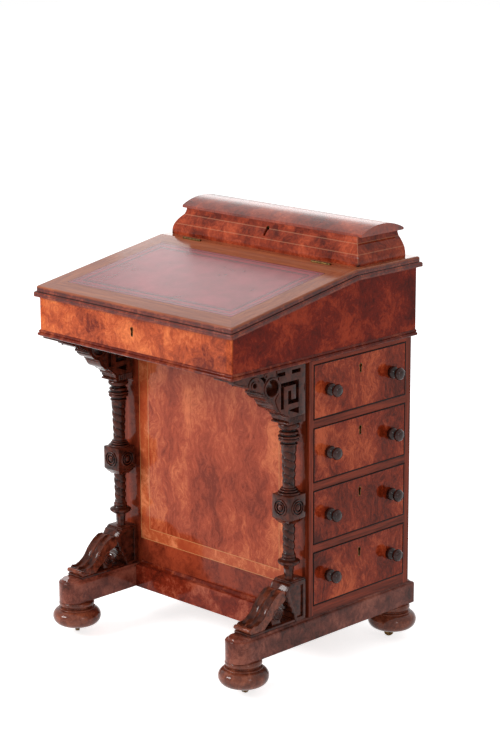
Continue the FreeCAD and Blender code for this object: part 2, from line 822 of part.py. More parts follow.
def make_drawer_box(name, index):
    """Two sides, a back and a bottom that slides in between them."""
    floor_z = f"({opening_bottom(index)} + seam)"
    top_z = f"({opening_top(index)} - drawer_side_drop)"
    near_y = "(max(well_front_y; opening_front_y) + drawer_gap)"
    far_y = "(min(well_back_y; opening_back_y) - drawer_gap)"
    front_x = "pedestal_inner_x"
    rear_x = "(-pedestal_inner_x + drawer_rear_room)"
    length = (rear_x, front_x)
    inside = (f"{near_y} + drawer_side", f"{far_y} - drawer_side")
    panel_z = f"({floor_z} + drawer_bottom_rise)"
    sides = [
        slab(name + "_near_side", length, (near_y, inside[0]), (floor_z, top_z)),
        slab(name + "_far_side", length, (inside[1], far_y), (floor_z, top_z)),
    ]
    back = slab(name + "_rear", (rear_x, f"{rear_x} + drawer_side"), inside,
                (f"{panel_z} + drawer_bottom", top_z))
    panel = slab(name + "_panel", length, inside, (panel_z, f"{panel_z} + drawer_bottom"))
    return group(name + "_carcase", *sides, back, panel)


def make_drawers():
    knobs = []
    for index in range(DRAWERS):
        knobs += make_drawer(index)
    dummies = []
    for index in range(DRAWERS):
        name = f"dummy_{index + 1}"
        face = drawer_face(name + "_board", index,
                           ("-pedestal_x", "-pedestal_x + dummy_thickness"))
        holes = [rod(f"{name}_{side}_hole", "x", "knob_spigot_radius + spigot_clearance",
                     "-pedestal_x - past", "-pedestal_x + dummy_thickness + past", y=y, z=z)
                 for side, (y, z) in zip(("left", "right"), knob_places(index))]
        seat = keyhole(name + "_seat", "x", "-pedestal_x - past", "-pedestal_x + escutcheon_depth",
                       MIDDLE_Y, f"({opening_top(index)} - drawer_key_drop)", "escutcheon_rim")
        dummies.append(cut(name, face, seat, *holes))
    part("dummy_drawer_fronts", group("dummies", *dummies))
    twins = [mirror(knob.Name + "_twin", knob) for knob in knobs]
    part("dummy_drawer_knobs", group("dummy_knobs", *twins))


# ---------------------------------------------------------------- desk case


def case_outline(grow, bend):
    """Plan of the case with two rounded front corners, wider by grow on front and sides."""
    x = f"(case_x + {grow})"
    front = f"(case_front_y - {grow})"
    return [
        (f"-{x}", "case_back_y"),
        (f"-{x}", f"{front} + {bend}"),
        (f"-{x} + {bend}", front, bend),
        (f"{x} - {bend}", front),
        (x, f"{front} + {bend}", bend),
        (x, "case_back_y"),
    ]


def make_base_moulding():
    """The rounded moulding that runs round the front and sides at the foot of the case."""
    top = "(case_bottom_z + base_bead_height)"
    outer = prism("bead_outer", "XY_Plane", case_outline("base_bead_projection", "bead_corner"),
                  "case_bottom_z", top)

    def rim(point, edge):
        return not upright(edge) and not near(point.y, "case_back_y")

    round_edges(outer, "min(base_bead_projection; base_bead_height / 2) * round_share", rim)
    inner = prism("bead_inner", "XY_Plane", case_outline("0", "case_corner"),
                  "case_bottom_z - past", f"{top} + past")
    return cut("bead", outer, inner)


def under_lid(y):
    """Height of the case rim under the lid."""
    return f"({lid_top(y)} - lid_thickness - seam)"


def make_side():
    path = [
        ("case_front_y", "case_bottom_z"),
        ("case_back_y", "case_bottom_z"),
        ("case_back_y", "shelf_bottom_z"),
        ("hinge_y", "shelf_bottom_z"),
        ("hinge_y", under_lid("hinge_y")),
        ("case_front_y", under_lid("case_front_y")),
    ]
    body = prism("side_right", "YZ_Plane", path, "case_inner_x", "case_x")

    def corner(point, edge):
        return upright(edge) and near(point.x, "case_x") and near(point.y, "case_front_y")

    return round_edges(body, "case_corner", corner)


def make_case():
    right = make_side()
    part("desk_sides", group("side_pair", right, mirror("side_left", right)))
    inner_y = "(case_front_y + case_front)"
    path = [
        ("case_front_y", "case_bottom_z"),
        (inner_y, "case_bottom_z"),
        (inner_y, under_lid(inner_y)),
        ("case_front_y", under_lid("case_front_y")),
    ]
    board = prism("frieze", "YZ_Plane", path, "-case_inner_x", "case_inner_x")
    key = keyhole("frieze_key", "y", "case_front_y - past", f"{inner_y} + past", "0", "frieze_key_z")
    seat = keyhole("frieze_seat", "y", "case_front_y - past", "case_front_y + escutcheon_depth",
                   "0", "frieze_key_z", "escutcheon_rim")
    part("desk_front_board", cut("frieze_cut", board, key, seat))
    across = ("-case_inner_x", "case_inner_x")
    part("desk_back_board", slab("rear_board", across,
                                 ("case_back_y - case_back", "case_back_y"),
                                 ("case_bottom_z", "shelf_bottom_z")))
    part("desk_bottom_board", slab("floor_board", across, (inner_y, "case_back_y - case_back"),
                                   ("case_bottom_z", "case_floor_z")))
    part("desk_base_moulding", make_base_moulding())


def hinge_centres():
    """Both hinges of a lid, by side."""
    return (("left", "-hinge_spread / 2"), ("right", "hinge_spread / 2"))


def hinge_span(x):
    return (f"{x} - hinge_length / 2", f"{x} + hinge_length / 2")


def hinge_room(name, y, z):
    """What is cut out of the wood for the knuckles of both hinges."""
    rooms = []
    for side, x in hinge_centres():
        low, high = hinge_span(x)
        rooms.append(rod(f"{name}_{side}", "x", "hinge_knuckle_radius + hinge_relief",
                         f"{low} - hinge_relief", f"{high} + hinge_relief", y=y, z=z))
    return rooms


def hinge_thirds(x):
    """The spans of a hinge's three knuckles, with a seam between them."""
    low, high = hinge_span(x)
    third = "(hinge_length / 3)"
    first = (low, f"({low}) + {third} - seam")
    middle = (f"({low}) + {third}", f"({high}) - {third}")
    last = (f"({high}) - {third} + seam", high)
    return first, middle, last


def make_leaf(tag, x, spans, pin, plate, tongue):
    """A hinge leaf: a plate as long as the hinge, and knuckles with tongues to the plate."""
    y, z = pin
    pieces = [slab(tag + "_plate", hinge_span(x), *plate)]
    for index, span in enumerate(spans):
        pieces.append(rod(f"{tag}_knuckle_{index}", "x", "hinge_knuckle_radius", *span, y=y, z=z))
        pieces.append(slab(f"{tag}_tongue_{index}", span, *tongue))
    return pieces


def make_shelf():
    """The flat shelf with a two-step moulded edge on three sides."""
    start = "hinge_y + seam"
    back = "case_back_y + edge_projection"
    step_z = "shelf_top_z - edge_upper"
    lower = moulded_slab("shelf_lower", "0", "shelf_bottom_z", step_z, start, back)
    upper = moulded_slab("shelf_upper", "edge_inset", step_z, "shelf_top_z", start, back)
    leaves = leaf_mortises("shelf", "hinge_y + seam - past", "hinge_y + seam + hinge_leaf")
    part("top_shelf", cut("shelf", fuse("shelf_blank", lower, upper),
                          *hinge_room("shelf_room", "hinge_y", "lid_pin_z"), *leaves))


def moulded_slab(name, inset, low, high, start, back):
    """One step of the shelf, its upper edge rounded on the sides and back."""
    x = f"(edge_x - {inset})"
    body = prism(name, "XY_Plane",
                 [(f"-{x}", start), (x, start), (x, f"{back} - {inset}"),
                  (f"-{x}", f"{back} - {inset}")], low, high)

    def rim(point, edge):
        return near(point.z, high) and not near(point.y, start)

    return round_edges(body, "min(edge_round; edge_inset * round_share)", rim)


def leaf_mortises(name, low, high):
    """The shallow housings of both hinges' leaves."""
    mortises = []
    for side, x in hinge_centres():
        span = hinge_span(x)
        mortises.append(slab(f"{name}_{side}_mortise", span, (low, high),
                             ("lid_pin_z - hinge_leaf_height", "shelf_top_z + past")))
    return mortises


def lid_slab(name, inset, low, high, rear):
    """One step of the lid, between two depths below the writing slope."""
    front = f"(front_y + {inset})"
    x = f"(edge_x - {inset})"
    path = [
        (front, f"{lid_top(front)} - ({low})"),
        (rear, f"{lid_top(rear)} - ({low})"),
        (rear, f"{lid_top(rear)} - ({high})"),
        (front, f"{lid_top(front)} - ({high})"),
    ]
    body = prism(name, "YZ_Plane", path, f"-{x}", x)

    def corner(point, edge):
        return upright(edge) and near(point.y, front)

    def rim(point, edge):
        on_top = near(point.z, f"{lid_top(str(point.y))} - ({high})")
        return on_top and not near(point.y, rear)

    round_edges(body, "lid_corner", corner)
    return round_edges(body, "min(edge_round; edge_inset * round_share)", rim)


def make_lid():
    rear = "(hinge_y - seam)"
    lower = lid_slab("lid_lower", "0", "lid_thickness", "edge_upper", rear)
    upper = lid_slab("lid_upper", "edge_inset", "edge_upper", "0", rear)
    leather_y = ("(front_y + leather_front_margin)", "(hinge_y - leather_rear_margin)")
    leather_x = "(edge_x - leather_side_margin)"

    def sheet_path(low, high, ease):
        near_y = f"({leather_y[0]} + {ease})"
        far_y = f"({leather_y[1]} - {ease})"
        return [(near_y, f"{lid_top(near_y)} + {low}"), (far_y, f"{lid_top(far_y)} + {low}"),
                (far_y, f"{lid_top(far_y)} + {high}"), (near_y, f"{lid_top(near_y)} + {high}")]

    recess = prism("leather_recess", "YZ_Plane", sheet_path("-leather_thickness", "past", "0"),
                   f"-{leather_x}", leather_x)
    ease = "spigot_clearance"
    leather = prism("leather", "YZ_Plane", sheet_path("-leather_thickness", "0", ease),
                    f"-{leather_x} + {ease}", f"{leather_x} - {ease}")
    leaves = leaf_mortises("lid", "hinge_y - seam - hinge_leaf", "hinge_y - seam + past")
    part("writing_lid_frame", cut("lid", fuse("lid_blank", lower, upper), recess,
                                  *hinge_room("lid_room", "hinge_y", "lid_pin_z"), *leaves))
    part("writing_lid_leather", leather)


def make_hinges(name, pin, fixed, moving):
    """Two butt hinges: the middle knuckle and the pin stay, the outer knuckles turn."""
    y, z = pin
    stay = []
    turn = []
    for side, x in hinge_centres():
        low, high = hinge_span(x)
        first, middle, last = hinge_thirds(x)
        tag = f"{name}_{side}"
        still = make_leaf(tag + "_fixed", x, [middle], pin, *fixed)
        still.append(rod(tag + "_pin", "x", "hinge_pin_radius", low, high, y=y, z=z))
        stay.append(fuse(tag + "_fixed", *still))
        outers = fuse(tag + "_outers", *make_leaf(tag + "_moving", x, [first, last], pin, *moving))
        bore = rod(tag + "_bore", "x", "hinge_pin_radius + running_clearance",
                   f"{low} - past", f"{high} + past", y=y, z=z)
        turn.append(cut(tag + "_moving", outers, bore))
    return group(name + "_stay", *stay), group(name + "_turn", *turn)


def make_lid_hinges():
    """The leaves stand in the joint between lid and shelf."""
    clear = "(lid_pin_z - hinge_knuckle_radius - hinge_relief)"
    plate_z = ("lid_pin_z - hinge_leaf_height", clear)
    tongue_z = (f"{clear} - hinge_leaf", "lid_pin_z")
    rear = ("hinge_y + seam", "hinge_y + seam + hinge_leaf")
    front = ("hinge_y - seam - hinge_leaf", "hinge_y - seam")
    stay, turn = make_hinges("lid_hinge", ("hinge_y", "lid_pin_z"),
                             ((rear, plate_z), (rear, tongue_z)),
                             ((front, plate_z), (front, tongue_z)))
    part("lid_hinge_fixed_leaves", stay)
    part("writing_lid_hinge_leaves", turn)


# ---------------------------------------------------------------- gallery


def gallery_profile(place):
    """Outer face of the gallery from shelf to neck; place turns a flare into a coordinate."""
    ridge_z = "shelf_top_z + gallery_ridge_rise"
    swell_z = "shelf_top_z + gallery_swell_rise"
    return [
        (place("gallery_foot_flare"), "shelf_top_z"),
        (place("gallery_swell_flare"), swell_z, "gallery_swell_radius"),
        (place("gallery_ridge_flare"), ridge_z, "gallery_slope_radius"),
        (place("0"), "gallery_top_z", "-gallery_cove_radius"),
    ]


def make_gallery():
    """A box with mitred, swelling walls."""
    def end_x(flare):
        return f"gallery_neck_x + {flare}"

    def front_y(flare):
        return f"gallery_neck_y - {flare}"

    margin = "(gallery_foot_flare + gallery_wall + mitre_margin)"
    front_path = [(step[0], step[1]) + tuple(f"-({bend})" for bend in step[2:])
                  for step in gallery_profile(front_y)]
    front_path += [("gallery_neck_y + gallery_wall", "gallery_top_z"),
                   ("gallery_neck_y + gallery_wall", "shelf_top_z")]
    front = prism("gallery_front_blank", "YZ_Plane", front_path,
                  f"-gallery_neck_x - {margin}", f"gallery_neck_x + {margin}")
    end_path = gallery_profile(end_x) + [("gallery_inner_x", "gallery_top_z"),
                                         ("gallery_inner_x", "shelf_top_z")]
    end = prism("gallery_end_blank", "XZ_Plane", end_path,
                f"gallery_neck_y - {margin}", "gallery_back_y")
    mitre = doc.addObject("Part::Box", "mitre")
    mitre.Placement = FreeCAD.Placement(FreeCAD.Vector(), FreeCAD.Rotation(Z_AXIS, 45))
    reach = "2 * (gallery_back_y - gallery_neck_y)"
    bind(mitre, Length=reach, Width=reach, Height="gallery_height + 2 * past")
    put(mitre, f"gallery_neck_x + {margin}", f"gallery_neck_y - {margin}", "shelf_top_z - past")
    mitred = cut("gallery_front_mitred", front, mitre, mirror("other_mitre", mitre))
    outside = f"gallery_neck_y - {margin}"
    key = keyhole("gallery_key", "y", outside, "gallery_neck_y + gallery_wall + past", "0",
                  "gallery_key_z")
    seat = keyhole("gallery_seat", "y", outside, "gallery_neck_y + gallery_wall / 2", "0",
                   "gallery_key_z", "escutcheon_rim")
    part("gallery_front", cut("gallery_front_cut", mitred, key, seat))
    right = doc.addObject("Part::Common", "gallery_end_right")
    right.Base = end
    right.Tool = mitre
    part("gallery_ends", group("gallery_end_pair", right, mirror("gallery_end_left", right)))
    part("gallery_back", slab("gallery_rear", ("-gallery_inner_x", "gallery_inner_x"),
                              ("gallery_back_y - gallery_wall", "gallery_back_y"),
                              ("shelf_top_z", "gallery_top_z")))
    part("gallery_partitions", make_partitions())


def make_partitions():
    """Two thin boards that part the gallery into three."""
    inside = ("gallery_neck_y + gallery_wall", "gallery_back_y - gallery_wall")
    height = ("shelf_top_z", "gallery_top_z - gallery_partition_gap")
    boards = []
    for side, sign in (("left", "-"), ("right", "")):
        x = f"{sign}gallery_inner_x / 3"
        across = (f"{x} - gallery_partition / 2", f"{x} + gallery_partition / 2")
        boards.append(slab(f"gallery_partition_{side}", across, inside, height))
    return group("partitions", *boards)


def make_gallery_lid():
    """A lid with a flat underside and an arched top, hinged along its back."""
    low = "(gallery_top_z + seam)"
    front = "(gallery_neck_y - gallery_lid_front)"
    back = "(gallery_back_y + gallery_lid_back)"
    edge_z = f"({low} + gallery_lid_edge)"
    middle = f"(({front} + {back}) / 2)"
    nosing = "gallery_lid_edge * nosing_share"
    path = [
        (front, low),
        (back, low),
        (back, edge_z, nosing),
        (middle, f"{low} + gallery_lid_rise", "gallery_lid_radius"),
        (front, edge_z, "gallery_lid_radius"),
    ]
    half = "(gallery_neck_x + gallery_lid_side)"
    lid = prism("gallery_lid_blank", "YZ_Plane", path, f"-{half}", half)
    mortises = []
    for side, x in hinge_centres():
        reach = ("gallery_pin_y - hinge_leaf_height", "gallery_pin_y + hinge_leaf / 2")
        mortises.append(slab(f"gallery_lid_{side}_mortise", hinge_span(x), reach,
                             (f"{low} - past", f"{low} + hinge_leaf")))
    part("gallery_lid", cut("gallery_lid_cut", lid, *mortises))


def make_gallery_hinges():
    """The fixed leaves lie on the back of the gallery, the others under its lid."""
    clear = "(gallery_pin_z - hinge_knuckle_radius - hinge_relief)"
    on_back = ("gallery_back_y", "gallery_back_y + hinge_leaf")
    low = "(gallery_top_z + seam)"
    under_lid_z = (low, f"{low} + hinge_leaf")
    half = "hinge_leaf / 2"
    stay, turn = make_hinges(
        "gallery_hinge", ("gallery_pin_y", "gallery_pin_z"),
        ((on_back, ("gallery_pin_z - hinge_leaf_height", clear)),
         (on_back, (f"{clear} - hinge_leaf", "gallery_pin_z"))),
        ((("gallery_pin_y - hinge_leaf_height", f"gallery_pin_y + {half}"), under_lid_z),
         ((f"gallery_pin_y - {half}", f"gallery_pin_y + {half}"),
          ("gallery_pin_z", under_lid_z[1]))))
    part("gallery_hinge_fixed_leaves", stay)
    part("gallery_lid_hinge_leaves", turn)


# ---------------------------------------------------------------- brackets and columns


def both_sides(name, right):
    """A piece and its twin on the other side of the desk."""
    return group(name + "_pair", right, mirror(name + "_twin", right))


def fret_point(run, drop, *bend):
    """A point of the fret bracket, from its back edge and from the underside of the case."""
    return (f"column_back_y - ({run})", f"case_bottom_z - ({drop})") + bend


def fret_window(name, runs, drops):
    """A rectangular piercing between two runs and two drops."""
    through = ("column_inner_x - past", "column_outer_x + past")
    return slab(name, through,
                (f"column_back_y - ({runs[1]})", f"column_back_y - ({runs[0]})"),
                (f"case_bottom_z - ({drops[1]})", f"case_bottom_z - ({drops[0]})"))


def fret_triangle(name, corners):
    path = [fret_point(*corner) for corner in corners]
    return prism(name, "YZ_Plane", path, "column_inner_x - past", "column_outer_x + past")


def key_fret():
    """The channel of the key pattern: five straight stretches of one width."""
    half = "fret_width / 2"
    back = "fret_key_back"
    inner = "(fret_key_back + fret_key_cell_width)"
    front = "(fret_key_back + 2 * fret_key_cell_width)"
    top = "fret_key_drop"
    middle = "(fret_key_drop + fret_key_cell_height)"
    bottom = "(fret_key_drop + 2 * fret_key_cell_height)"
    stretches = [
        ((front, front), (top, f"{bottom} + fret_key_tail")),
        ((back, front), (top, top)),
        ((back, back), (top, bottom)),
        ((back, inner), (bottom, bottom)),
        ((inner, inner), (middle, bottom)),
    ]
    return [fret_window(f"fret_key_{index}",
                        (f"{runs[0]} - {half}", f"{runs[1]} + {half}"),
                        (f"{drops[0]} - {half}", f"{drops[1]} + {half}"))
            for index, (runs, drops) in enumerate(stretches, start=1)]


def make_fret_brackets():
    """Pierced brackets under the overhanging case, their lower edge in steps and lobes."""
    tip = "(bracket_reach - bracket_tip_run)"
    tip_drop = "(bracket_nose + bracket_tip_drop)"
    lobe = f"({tip} - bracket_step_run)"
    lobe_drop = f"({tip_drop} + bracket_step_drop)"
    nick = f"({lobe} - bracket_lobe_run)"
    nick_drop = f"({lobe_drop} + bracket_lobe_drop)"
    small = f"({nick} - bracket_nick_run)"
    small_drop = f"({nick_drop} + bracket_nick_drop)"
    end = f"({small} - bracket_small_run)"
    end_drop = f"({small_drop} + bracket_small_drop)"
    path = [
        fret_point("bracket_reach", "0"),
        fret_point("bracket_reach", "bracket_nose"),
        fret_point(tip, tip_drop),
        fret_point(lobe, lobe_drop),
        fret_point(nick, nick_drop, "bracket_lobe_radius"),
        fret_point(small, small_drop),
        fret_point(end, end_drop, "bracket_small_radius"),
        fret_point(f"{end} - bracket_step_run", f"{end_drop} + bracket_step_drop"),
        fret_point("bracket_foot_depth + bracket_step_run", "bracket_height - bracket_foot_height",
                   "bracket_lobe_radius"),
        fret_point("bracket_foot_depth", "bracket_height"),
        fret_point("0", "bracket_height"),
        fret_point("0", "0"),
    ]
    blank = prism("fret_blank", "YZ_Plane", path, "column_inner_x", "column_outer_x")
    slot = ("fret_slot_drop", "fret_slot_drop + fret_slot_height")
    windows = key_fret()
    for index, run in enumerate(("fret_slot_back", "fret_slot_back + fret_slot_pitch"), start=1):
        windows.append(fret_window(f"fret_slot_{index}", (run, f"{run} + fret_slot_length"), slot))
    for name, radius, back, drop in (
            ("fret_ring", "fret_ring_radius", "fret_ring_back", "fret_ring_drop"),
            ("fret_eye", "fret_eye_radius", "fret_eye_back", "fret_eye_drop")):
        windows.append(rod(name, "x", radius, "column_inner_x - past", "column_outer_x + past",
                           y=f"column_back_y - {back}", z=f"case_bottom_z - {drop}"))
    wedge = "fret_wedge_back"
    windows.append(fret_triangle("fret_wedge", [
        (f"{wedge} + fret_wedge_length", "fret_wedge_drop"),
        (wedge, f"fret_wedge_drop + fret_wedge_height"),
        (wedge, f"fret_wedge_drop - fret_wedge_slope"),
    ]))
    windows.append(fret_triangle("fret_spandrel", [
        ("fret_spandrel_back + fret_spandrel_length", "fret_slot_drop"),
        ("fret_spandrel_back + fret_spandrel_length / 3",
         "fret_slot_drop + fret_spandrel_height"),
        ("fret_spandrel_back", "fret_slot_drop"),
    ]))
    part("fret_brackets", both_sides("fret", cut("fret_right", blank, *windows)))


def make_columns():
    """Turned columns with a square block between their two shafts."""
    top = "bracket_bottom_z"
    ring = "capital_ring"
    bell_z = f"({top} - 5 * {ring})"
    upper_end_z = "(column_block_top_z + collar_height)"
    step = "collar_height / 3"
    upper = [
        ("0", "column_block_top_z"),
        ("collar_radius", "column_block_top_z"),
        ("collar_radius", f"column_block_top_z + {step}", step),
        ("collar_radius - collar_tread", f"column_block_top_z + {step}"),
        ("collar_radius - collar_tread", f"column_block_top_z + 2 * {step}", step),
        ("collar_radius - 2 * collar_tread", f"column_block_top_z + 2 * {step}"),
        ("shaft_foot_radius", upper_end_z, f"-({step})"),
        ("shaft_radius", f"{bell_z} - capital_bell"),
        ("capital_waist + capital_lip", bell_z, "-capital_bell * bell_share"),
        ("capital_radius", bell_z),
        ("capital_radius", f"{bell_z} + {ring}", ring),
        ("capital_waist", f"{bell_z} + {ring}"),
        ("capital_waist", f"{bell_z} + 2 * {ring}"),
        ("capital_waist", f"{bell_z} + 3 * {ring}", ring),
        ("capital_waist", f"{top} - {ring} / 2", f"{ring} * round_share"),
        ("capital_waist", top),
        ("0", top),
    ]
    low = "post_top_z"
    shoulder = "lower_shaft_radius + lower_shaft_shoulder"
    disc_z = f"({low} + column_neck_length)"
    lower = [
        ("0", low),
        ("column_toe_radius", low),
        ("column_neck_radius", disc_z, "-column_neck_length * 2"),
        ("column_disc_radius", f"{disc_z} + column_disc_height / 2", "column_disc_height"),
        (shoulder, f"{disc_z} + column_disc_height", "column_disc_height"),
        ("lower_shaft_radius", f"{disc_z} + column_disc_height + {step}"),
        ("lower_shaft_head_radius", "column_block_bottom_z - block_taper"),
        ("0", "column_block_bottom_z - block_taper"),
    ]
    square = ("-column_square / 2", "column_square / 2")
    block = slab("column_block", square, square, ("column_block_bottom_z", "column_block_top_z"))
    column = fuse("column_right", turned("column_upper", upper), block, make_taper(),
                  turned("column_lower", lower))
    part("columns", both_sides("column", put(column, "runner_x", "column_y")))


def make_taper():
    """The square taper below a column's block."""
    shoulder = "lower_shaft_radius + lower_shaft_shoulder"
    taper = doc.addObject("Part::Wedge", "column_taper")
    taper.Placement = FreeCAD.Placement(FreeCAD.Vector(), FreeCAD.Rotation(X_AXIS, -90))
    bind(taper, Xmin="-column_square / 2", Xmax="column_square / 2",
         Zmin="-column_square / 2", Zmax="column_square / 2",
         X2min=f"-({shoulder})", X2max=shoulder, Z2min=f"-({shoulder})", Z2max=shoulder,
         Ymin="0", Ymax="block_taper")
    return put(taper, z="column_block_bottom_z")


def scroll_point(run, rise, *bend):
    """A point of the scroll bracket, from its back edge and from the runner's top."""
    return (f"column_back_y - ({run})", f"runner_top_z + {rise}") + bend


def make_scroll_brackets():
    """A post with a scrolled leg that reaches forward along the runner."""
    toe = "scroll_reach - scroll_toe_height / 2"
    path = [
        scroll_point("0", "0"),
        scroll_point("0", "post_height"),
        scroll_point("post_top_depth", "post_height"),
        scroll_point("scroll_shoulder_run", "post_height - post_bevel_drop"),
        scroll_point("scroll_knee_run", "scroll_knee_rise", "scroll_arch_radius"),
        scroll_point("scroll_instep_run", "scroll_instep_rise", "-scroll_hollow_radius"),
        scroll_point(toe, "scroll_toe_height", "-scroll_toe_height"),
        scroll_point("scroll_reach", "scroll_toe_height / 2", "scroll_toe_height / 2"),
        scroll_point(toe, "0", "scroll_toe_height / 2"),
    ]
    blank = prism("scroll_blank", "YZ_Plane", path, "column_inner_x", "column_outer_x")
    volute_run = "(scroll_volute_run - volute_radius * volute_run_share)"
    volute_rise = "(scroll_volute_rise + volute_radius * volute_rise_share)"
    window = [
        scroll_point("post_waist_run", "post_waist_rise"),
        scroll_point("scroll_window_run", "scroll_window_rise", "post_waist_run * 2"),
        scroll_point(volute_run, volute_rise),
        scroll_point("scroll_volute_run", "scroll_volute_rise - volute_radius",
                     "volute_radius * volute_bend_share"),
        scroll_point("scroll_volute_run + volute_radius * volute_rise_share", "scroll_base"),
        scroll_point("post_foot_run", "scroll_base"),
    ]
    opening = prism("scroll_window", "YZ_Plane", window, "column_inner_x - past",
                    "column_outer_x + past")
    part("scroll_brackets", both_sides("scroll", cut("scroll_right", blank, opening)))


# ---------------------------------------------------------------- locks and insides


def key_ring(name, axis, start, end, across, z):
    """An escutcheon: a rim round a keyhole."""
    rim = keyhole(name + "_rim", axis, start, end, across, z, "escutcheon_rim")
    bore = keyhole(name + "_bore", axis, f"{start} - past", f"{end} + past", across, z)
    return cut(name, rim, bore)


def make_fixed_locks():
    """Escutcheons and locks of the two lids, and the escutcheons of the dummy drawers."""
    rings = [
        key_ring("frieze_escutcheon", "y", "case_front_y", "case_front_y + escutcheon_depth",
                 "0", "frieze_key_z"),
        key_ring("gallery_escutcheon", "y", "gallery_neck_y - gallery_ridge_flare / 2",
                 "gallery_neck_y + gallery_wall / 2", "0", "gallery_key_z"),
    ]
    for index in range(DRAWERS):
        rings.append(key_ring(f"dummy_escutcheon_{index + 1}", "x", "-pedestal_x",
                              "-pedestal_x + escutcheon_depth", MIDDLE_Y,
                              f"({opening_top(index)} - drawer_key_drop)"))
    part("fixed_escutcheons", group("fixed_rings", *rings))
    locks = []
    half = "lock_width / 2"
    for name, front, face, key_z, top in (
            ("frieze", "case_front_y + escutcheon_depth", "(case_front_y + case_front)",
             "frieze_key_z", f"({under_lid('case_front_y')} - lock_drop)"),
            ("gallery", "gallery_neck_y", "(gallery_neck_y + gallery_wall)",
             "gallery_key_z", "(gallery_top_z - lock_drop)")):
        case = slab(name + "_lock_case", (f"-{half}", half), (face, f"{face} + lock_thickness"),
                    (f"{top} - lock_height", top))
        pin = rod(name + "_lock_pin", "y", "lock_pin_radius", front, face, z=key_z)
        locks.append(fuse(name + "_lock", case, pin))
    part("fixed_locks", group("lid_locks", *locks))


def make_insides():
    """Pigeonholes under the shelf, over two small drawers."""
    rear = "(case_back_y - case_back)"
    depth = ("pigeonhole_y", rear)
    over = "(small_opening_top_z + pigeonhole_board)"
    boards = [
        slab("pigeonhole_shelf", ("-case_inner_x", "case_inner_x"), depth,
             ("small_opening_top_z", over)),
        slab("drawer_divider", ("-pigeonhole_board / 2", "pigeonhole_board / 2"), depth,
             ("case_floor_z", "small_opening_top_z")),
    ]
    for index, share in enumerate(("-1 / 2", "0", "1 / 2"), start=1):
        x = f"({share}) * case_inner_x"
        boards.append(slab(f"pigeonhole_divider_{index}",
                           (f"{x} - pigeonhole_board / 2", f"{x} + pigeonhole_board / 2"),
                           depth, (over, "shelf_bottom_z")))
    part("pigeonholes", group("pigeonhole_boards", *boards))
    for side, low, high in (
            ("left", "-case_inner_x + drawer_gap", "-pigeonhole_board / 2 - drawer_gap"),
            ("right", "pigeonhole_board / 2 + drawer_gap", "case_inner_x - drawer_gap")):
        part("interior_drawer_" + side, make_small_drawer(side, f"({low})", f"({high})"))


def make_small_drawer(side, low, high):
    """A small drawer hollowed as one box, with a turned knob on its front."""
    rear = "(case_back_y - case_back - drawer_gap)"
    floor_z = "(case_floor_z + seam)"
    top_z = "(small_opening_top_z - drawer_gap)"
    wall = "small_drawer_wall"
    outer = slab(f"small_drawer_{side}_block", (low, high), ("pigeonhole_y", rear),
                 (floor_z, top_z))
    hollow = slab(f"small_drawer_{side}_hollow", (f"{low} + {wall}", f"{high} - {wall}"),
                  ("pigeonhole_y + small_drawer_front", f"{rear} - {wall}"),
                  (f"{floor_z} + {wall}", f"{top_z} + past"))
    knob = [
        ("0", "-small_knob_length"),
        ("small_knob_radius", "-small_knob_length / 2", "small_knob_radius"),
        ("small_knob_radius / 2", "-small_knob_length / 6", "small_knob_length"),
        ("small_knob_radius / 2", "0"),
        ("0", "0"),
    ]
    turned_knob = put(turned(f"small_knob_{side}", knob, "XY_Plane"), f"({low} + {high}) / 2",
                      "pigeonhole_y", f"({floor_z} + {top_z}) / 2")
    return group(f"small_drawer_{side}",
                 cut(f"small_drawer_{side}_box", outer, hollow), turned_knob)


# ---------------------------------------------------------------- the whole desk


def check(items):
    """Stop on anything that failed to build."""
    failed = [item.Name for item in items if {"Invalid", "Error"} & set(item.State)]
    if failed:
        raise RuntimeError("failed objects: " + ", ".join(failed))
    for item in parts:
        if item.Shape.isNull() or not item.Shape.isValid():
            raise RuntimeError("bad shape: " + item.Label)


def write_parts():
    os.makedirs("parts", exist_ok=True)
    for item in parts:
        item.Shape.exportStep(f"parts/{item.Label}.step")


make_base()
make_feet()
make_pedestal()
make_drawers()
make_case()
make_shelf()
make_lid()
make_lid_hinges()
make_gallery()
make_gallery_lid()
make_gallery_hinges()
make_fret_brackets()
make_columns()
make_scroll_brackets()
make_fixed_locks()
make_insides()
doc.recompute()
check(doc.Objects)
write_parts()
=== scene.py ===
"""Davenport desk: carved, turned and inlaid pieces, and the finishes of every board.

Property groups hold lengths in metres. Pieces are drawn in millimetres and made metres when
they are placed.
"""

from math import asin, atan2, cos, pi, radians, sin, sqrt
from types import SimpleNamespace

import bmesh
import bpy
from bpy.props import FloatProperty, FloatVectorProperty, IntProperty, PointerProperty
from mathutils import Matrix, Vector


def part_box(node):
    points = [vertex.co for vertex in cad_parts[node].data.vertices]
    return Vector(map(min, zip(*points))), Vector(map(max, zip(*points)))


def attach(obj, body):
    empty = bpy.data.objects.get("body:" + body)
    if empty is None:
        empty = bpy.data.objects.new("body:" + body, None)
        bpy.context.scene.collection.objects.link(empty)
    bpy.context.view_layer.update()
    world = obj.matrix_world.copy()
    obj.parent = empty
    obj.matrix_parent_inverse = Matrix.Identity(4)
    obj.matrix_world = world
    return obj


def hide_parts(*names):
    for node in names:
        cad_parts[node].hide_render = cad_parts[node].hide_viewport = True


bl_info = {
    "name": "Davenport desk",
    "version": (1, 0, 0),
    "blender": (4, 5, 0),
    "location": "3D View > Sidebar > Davenport",
    "description": "Builds the carved and polished pieces of a davenport desk on its frame",
    "category": "Object",
}

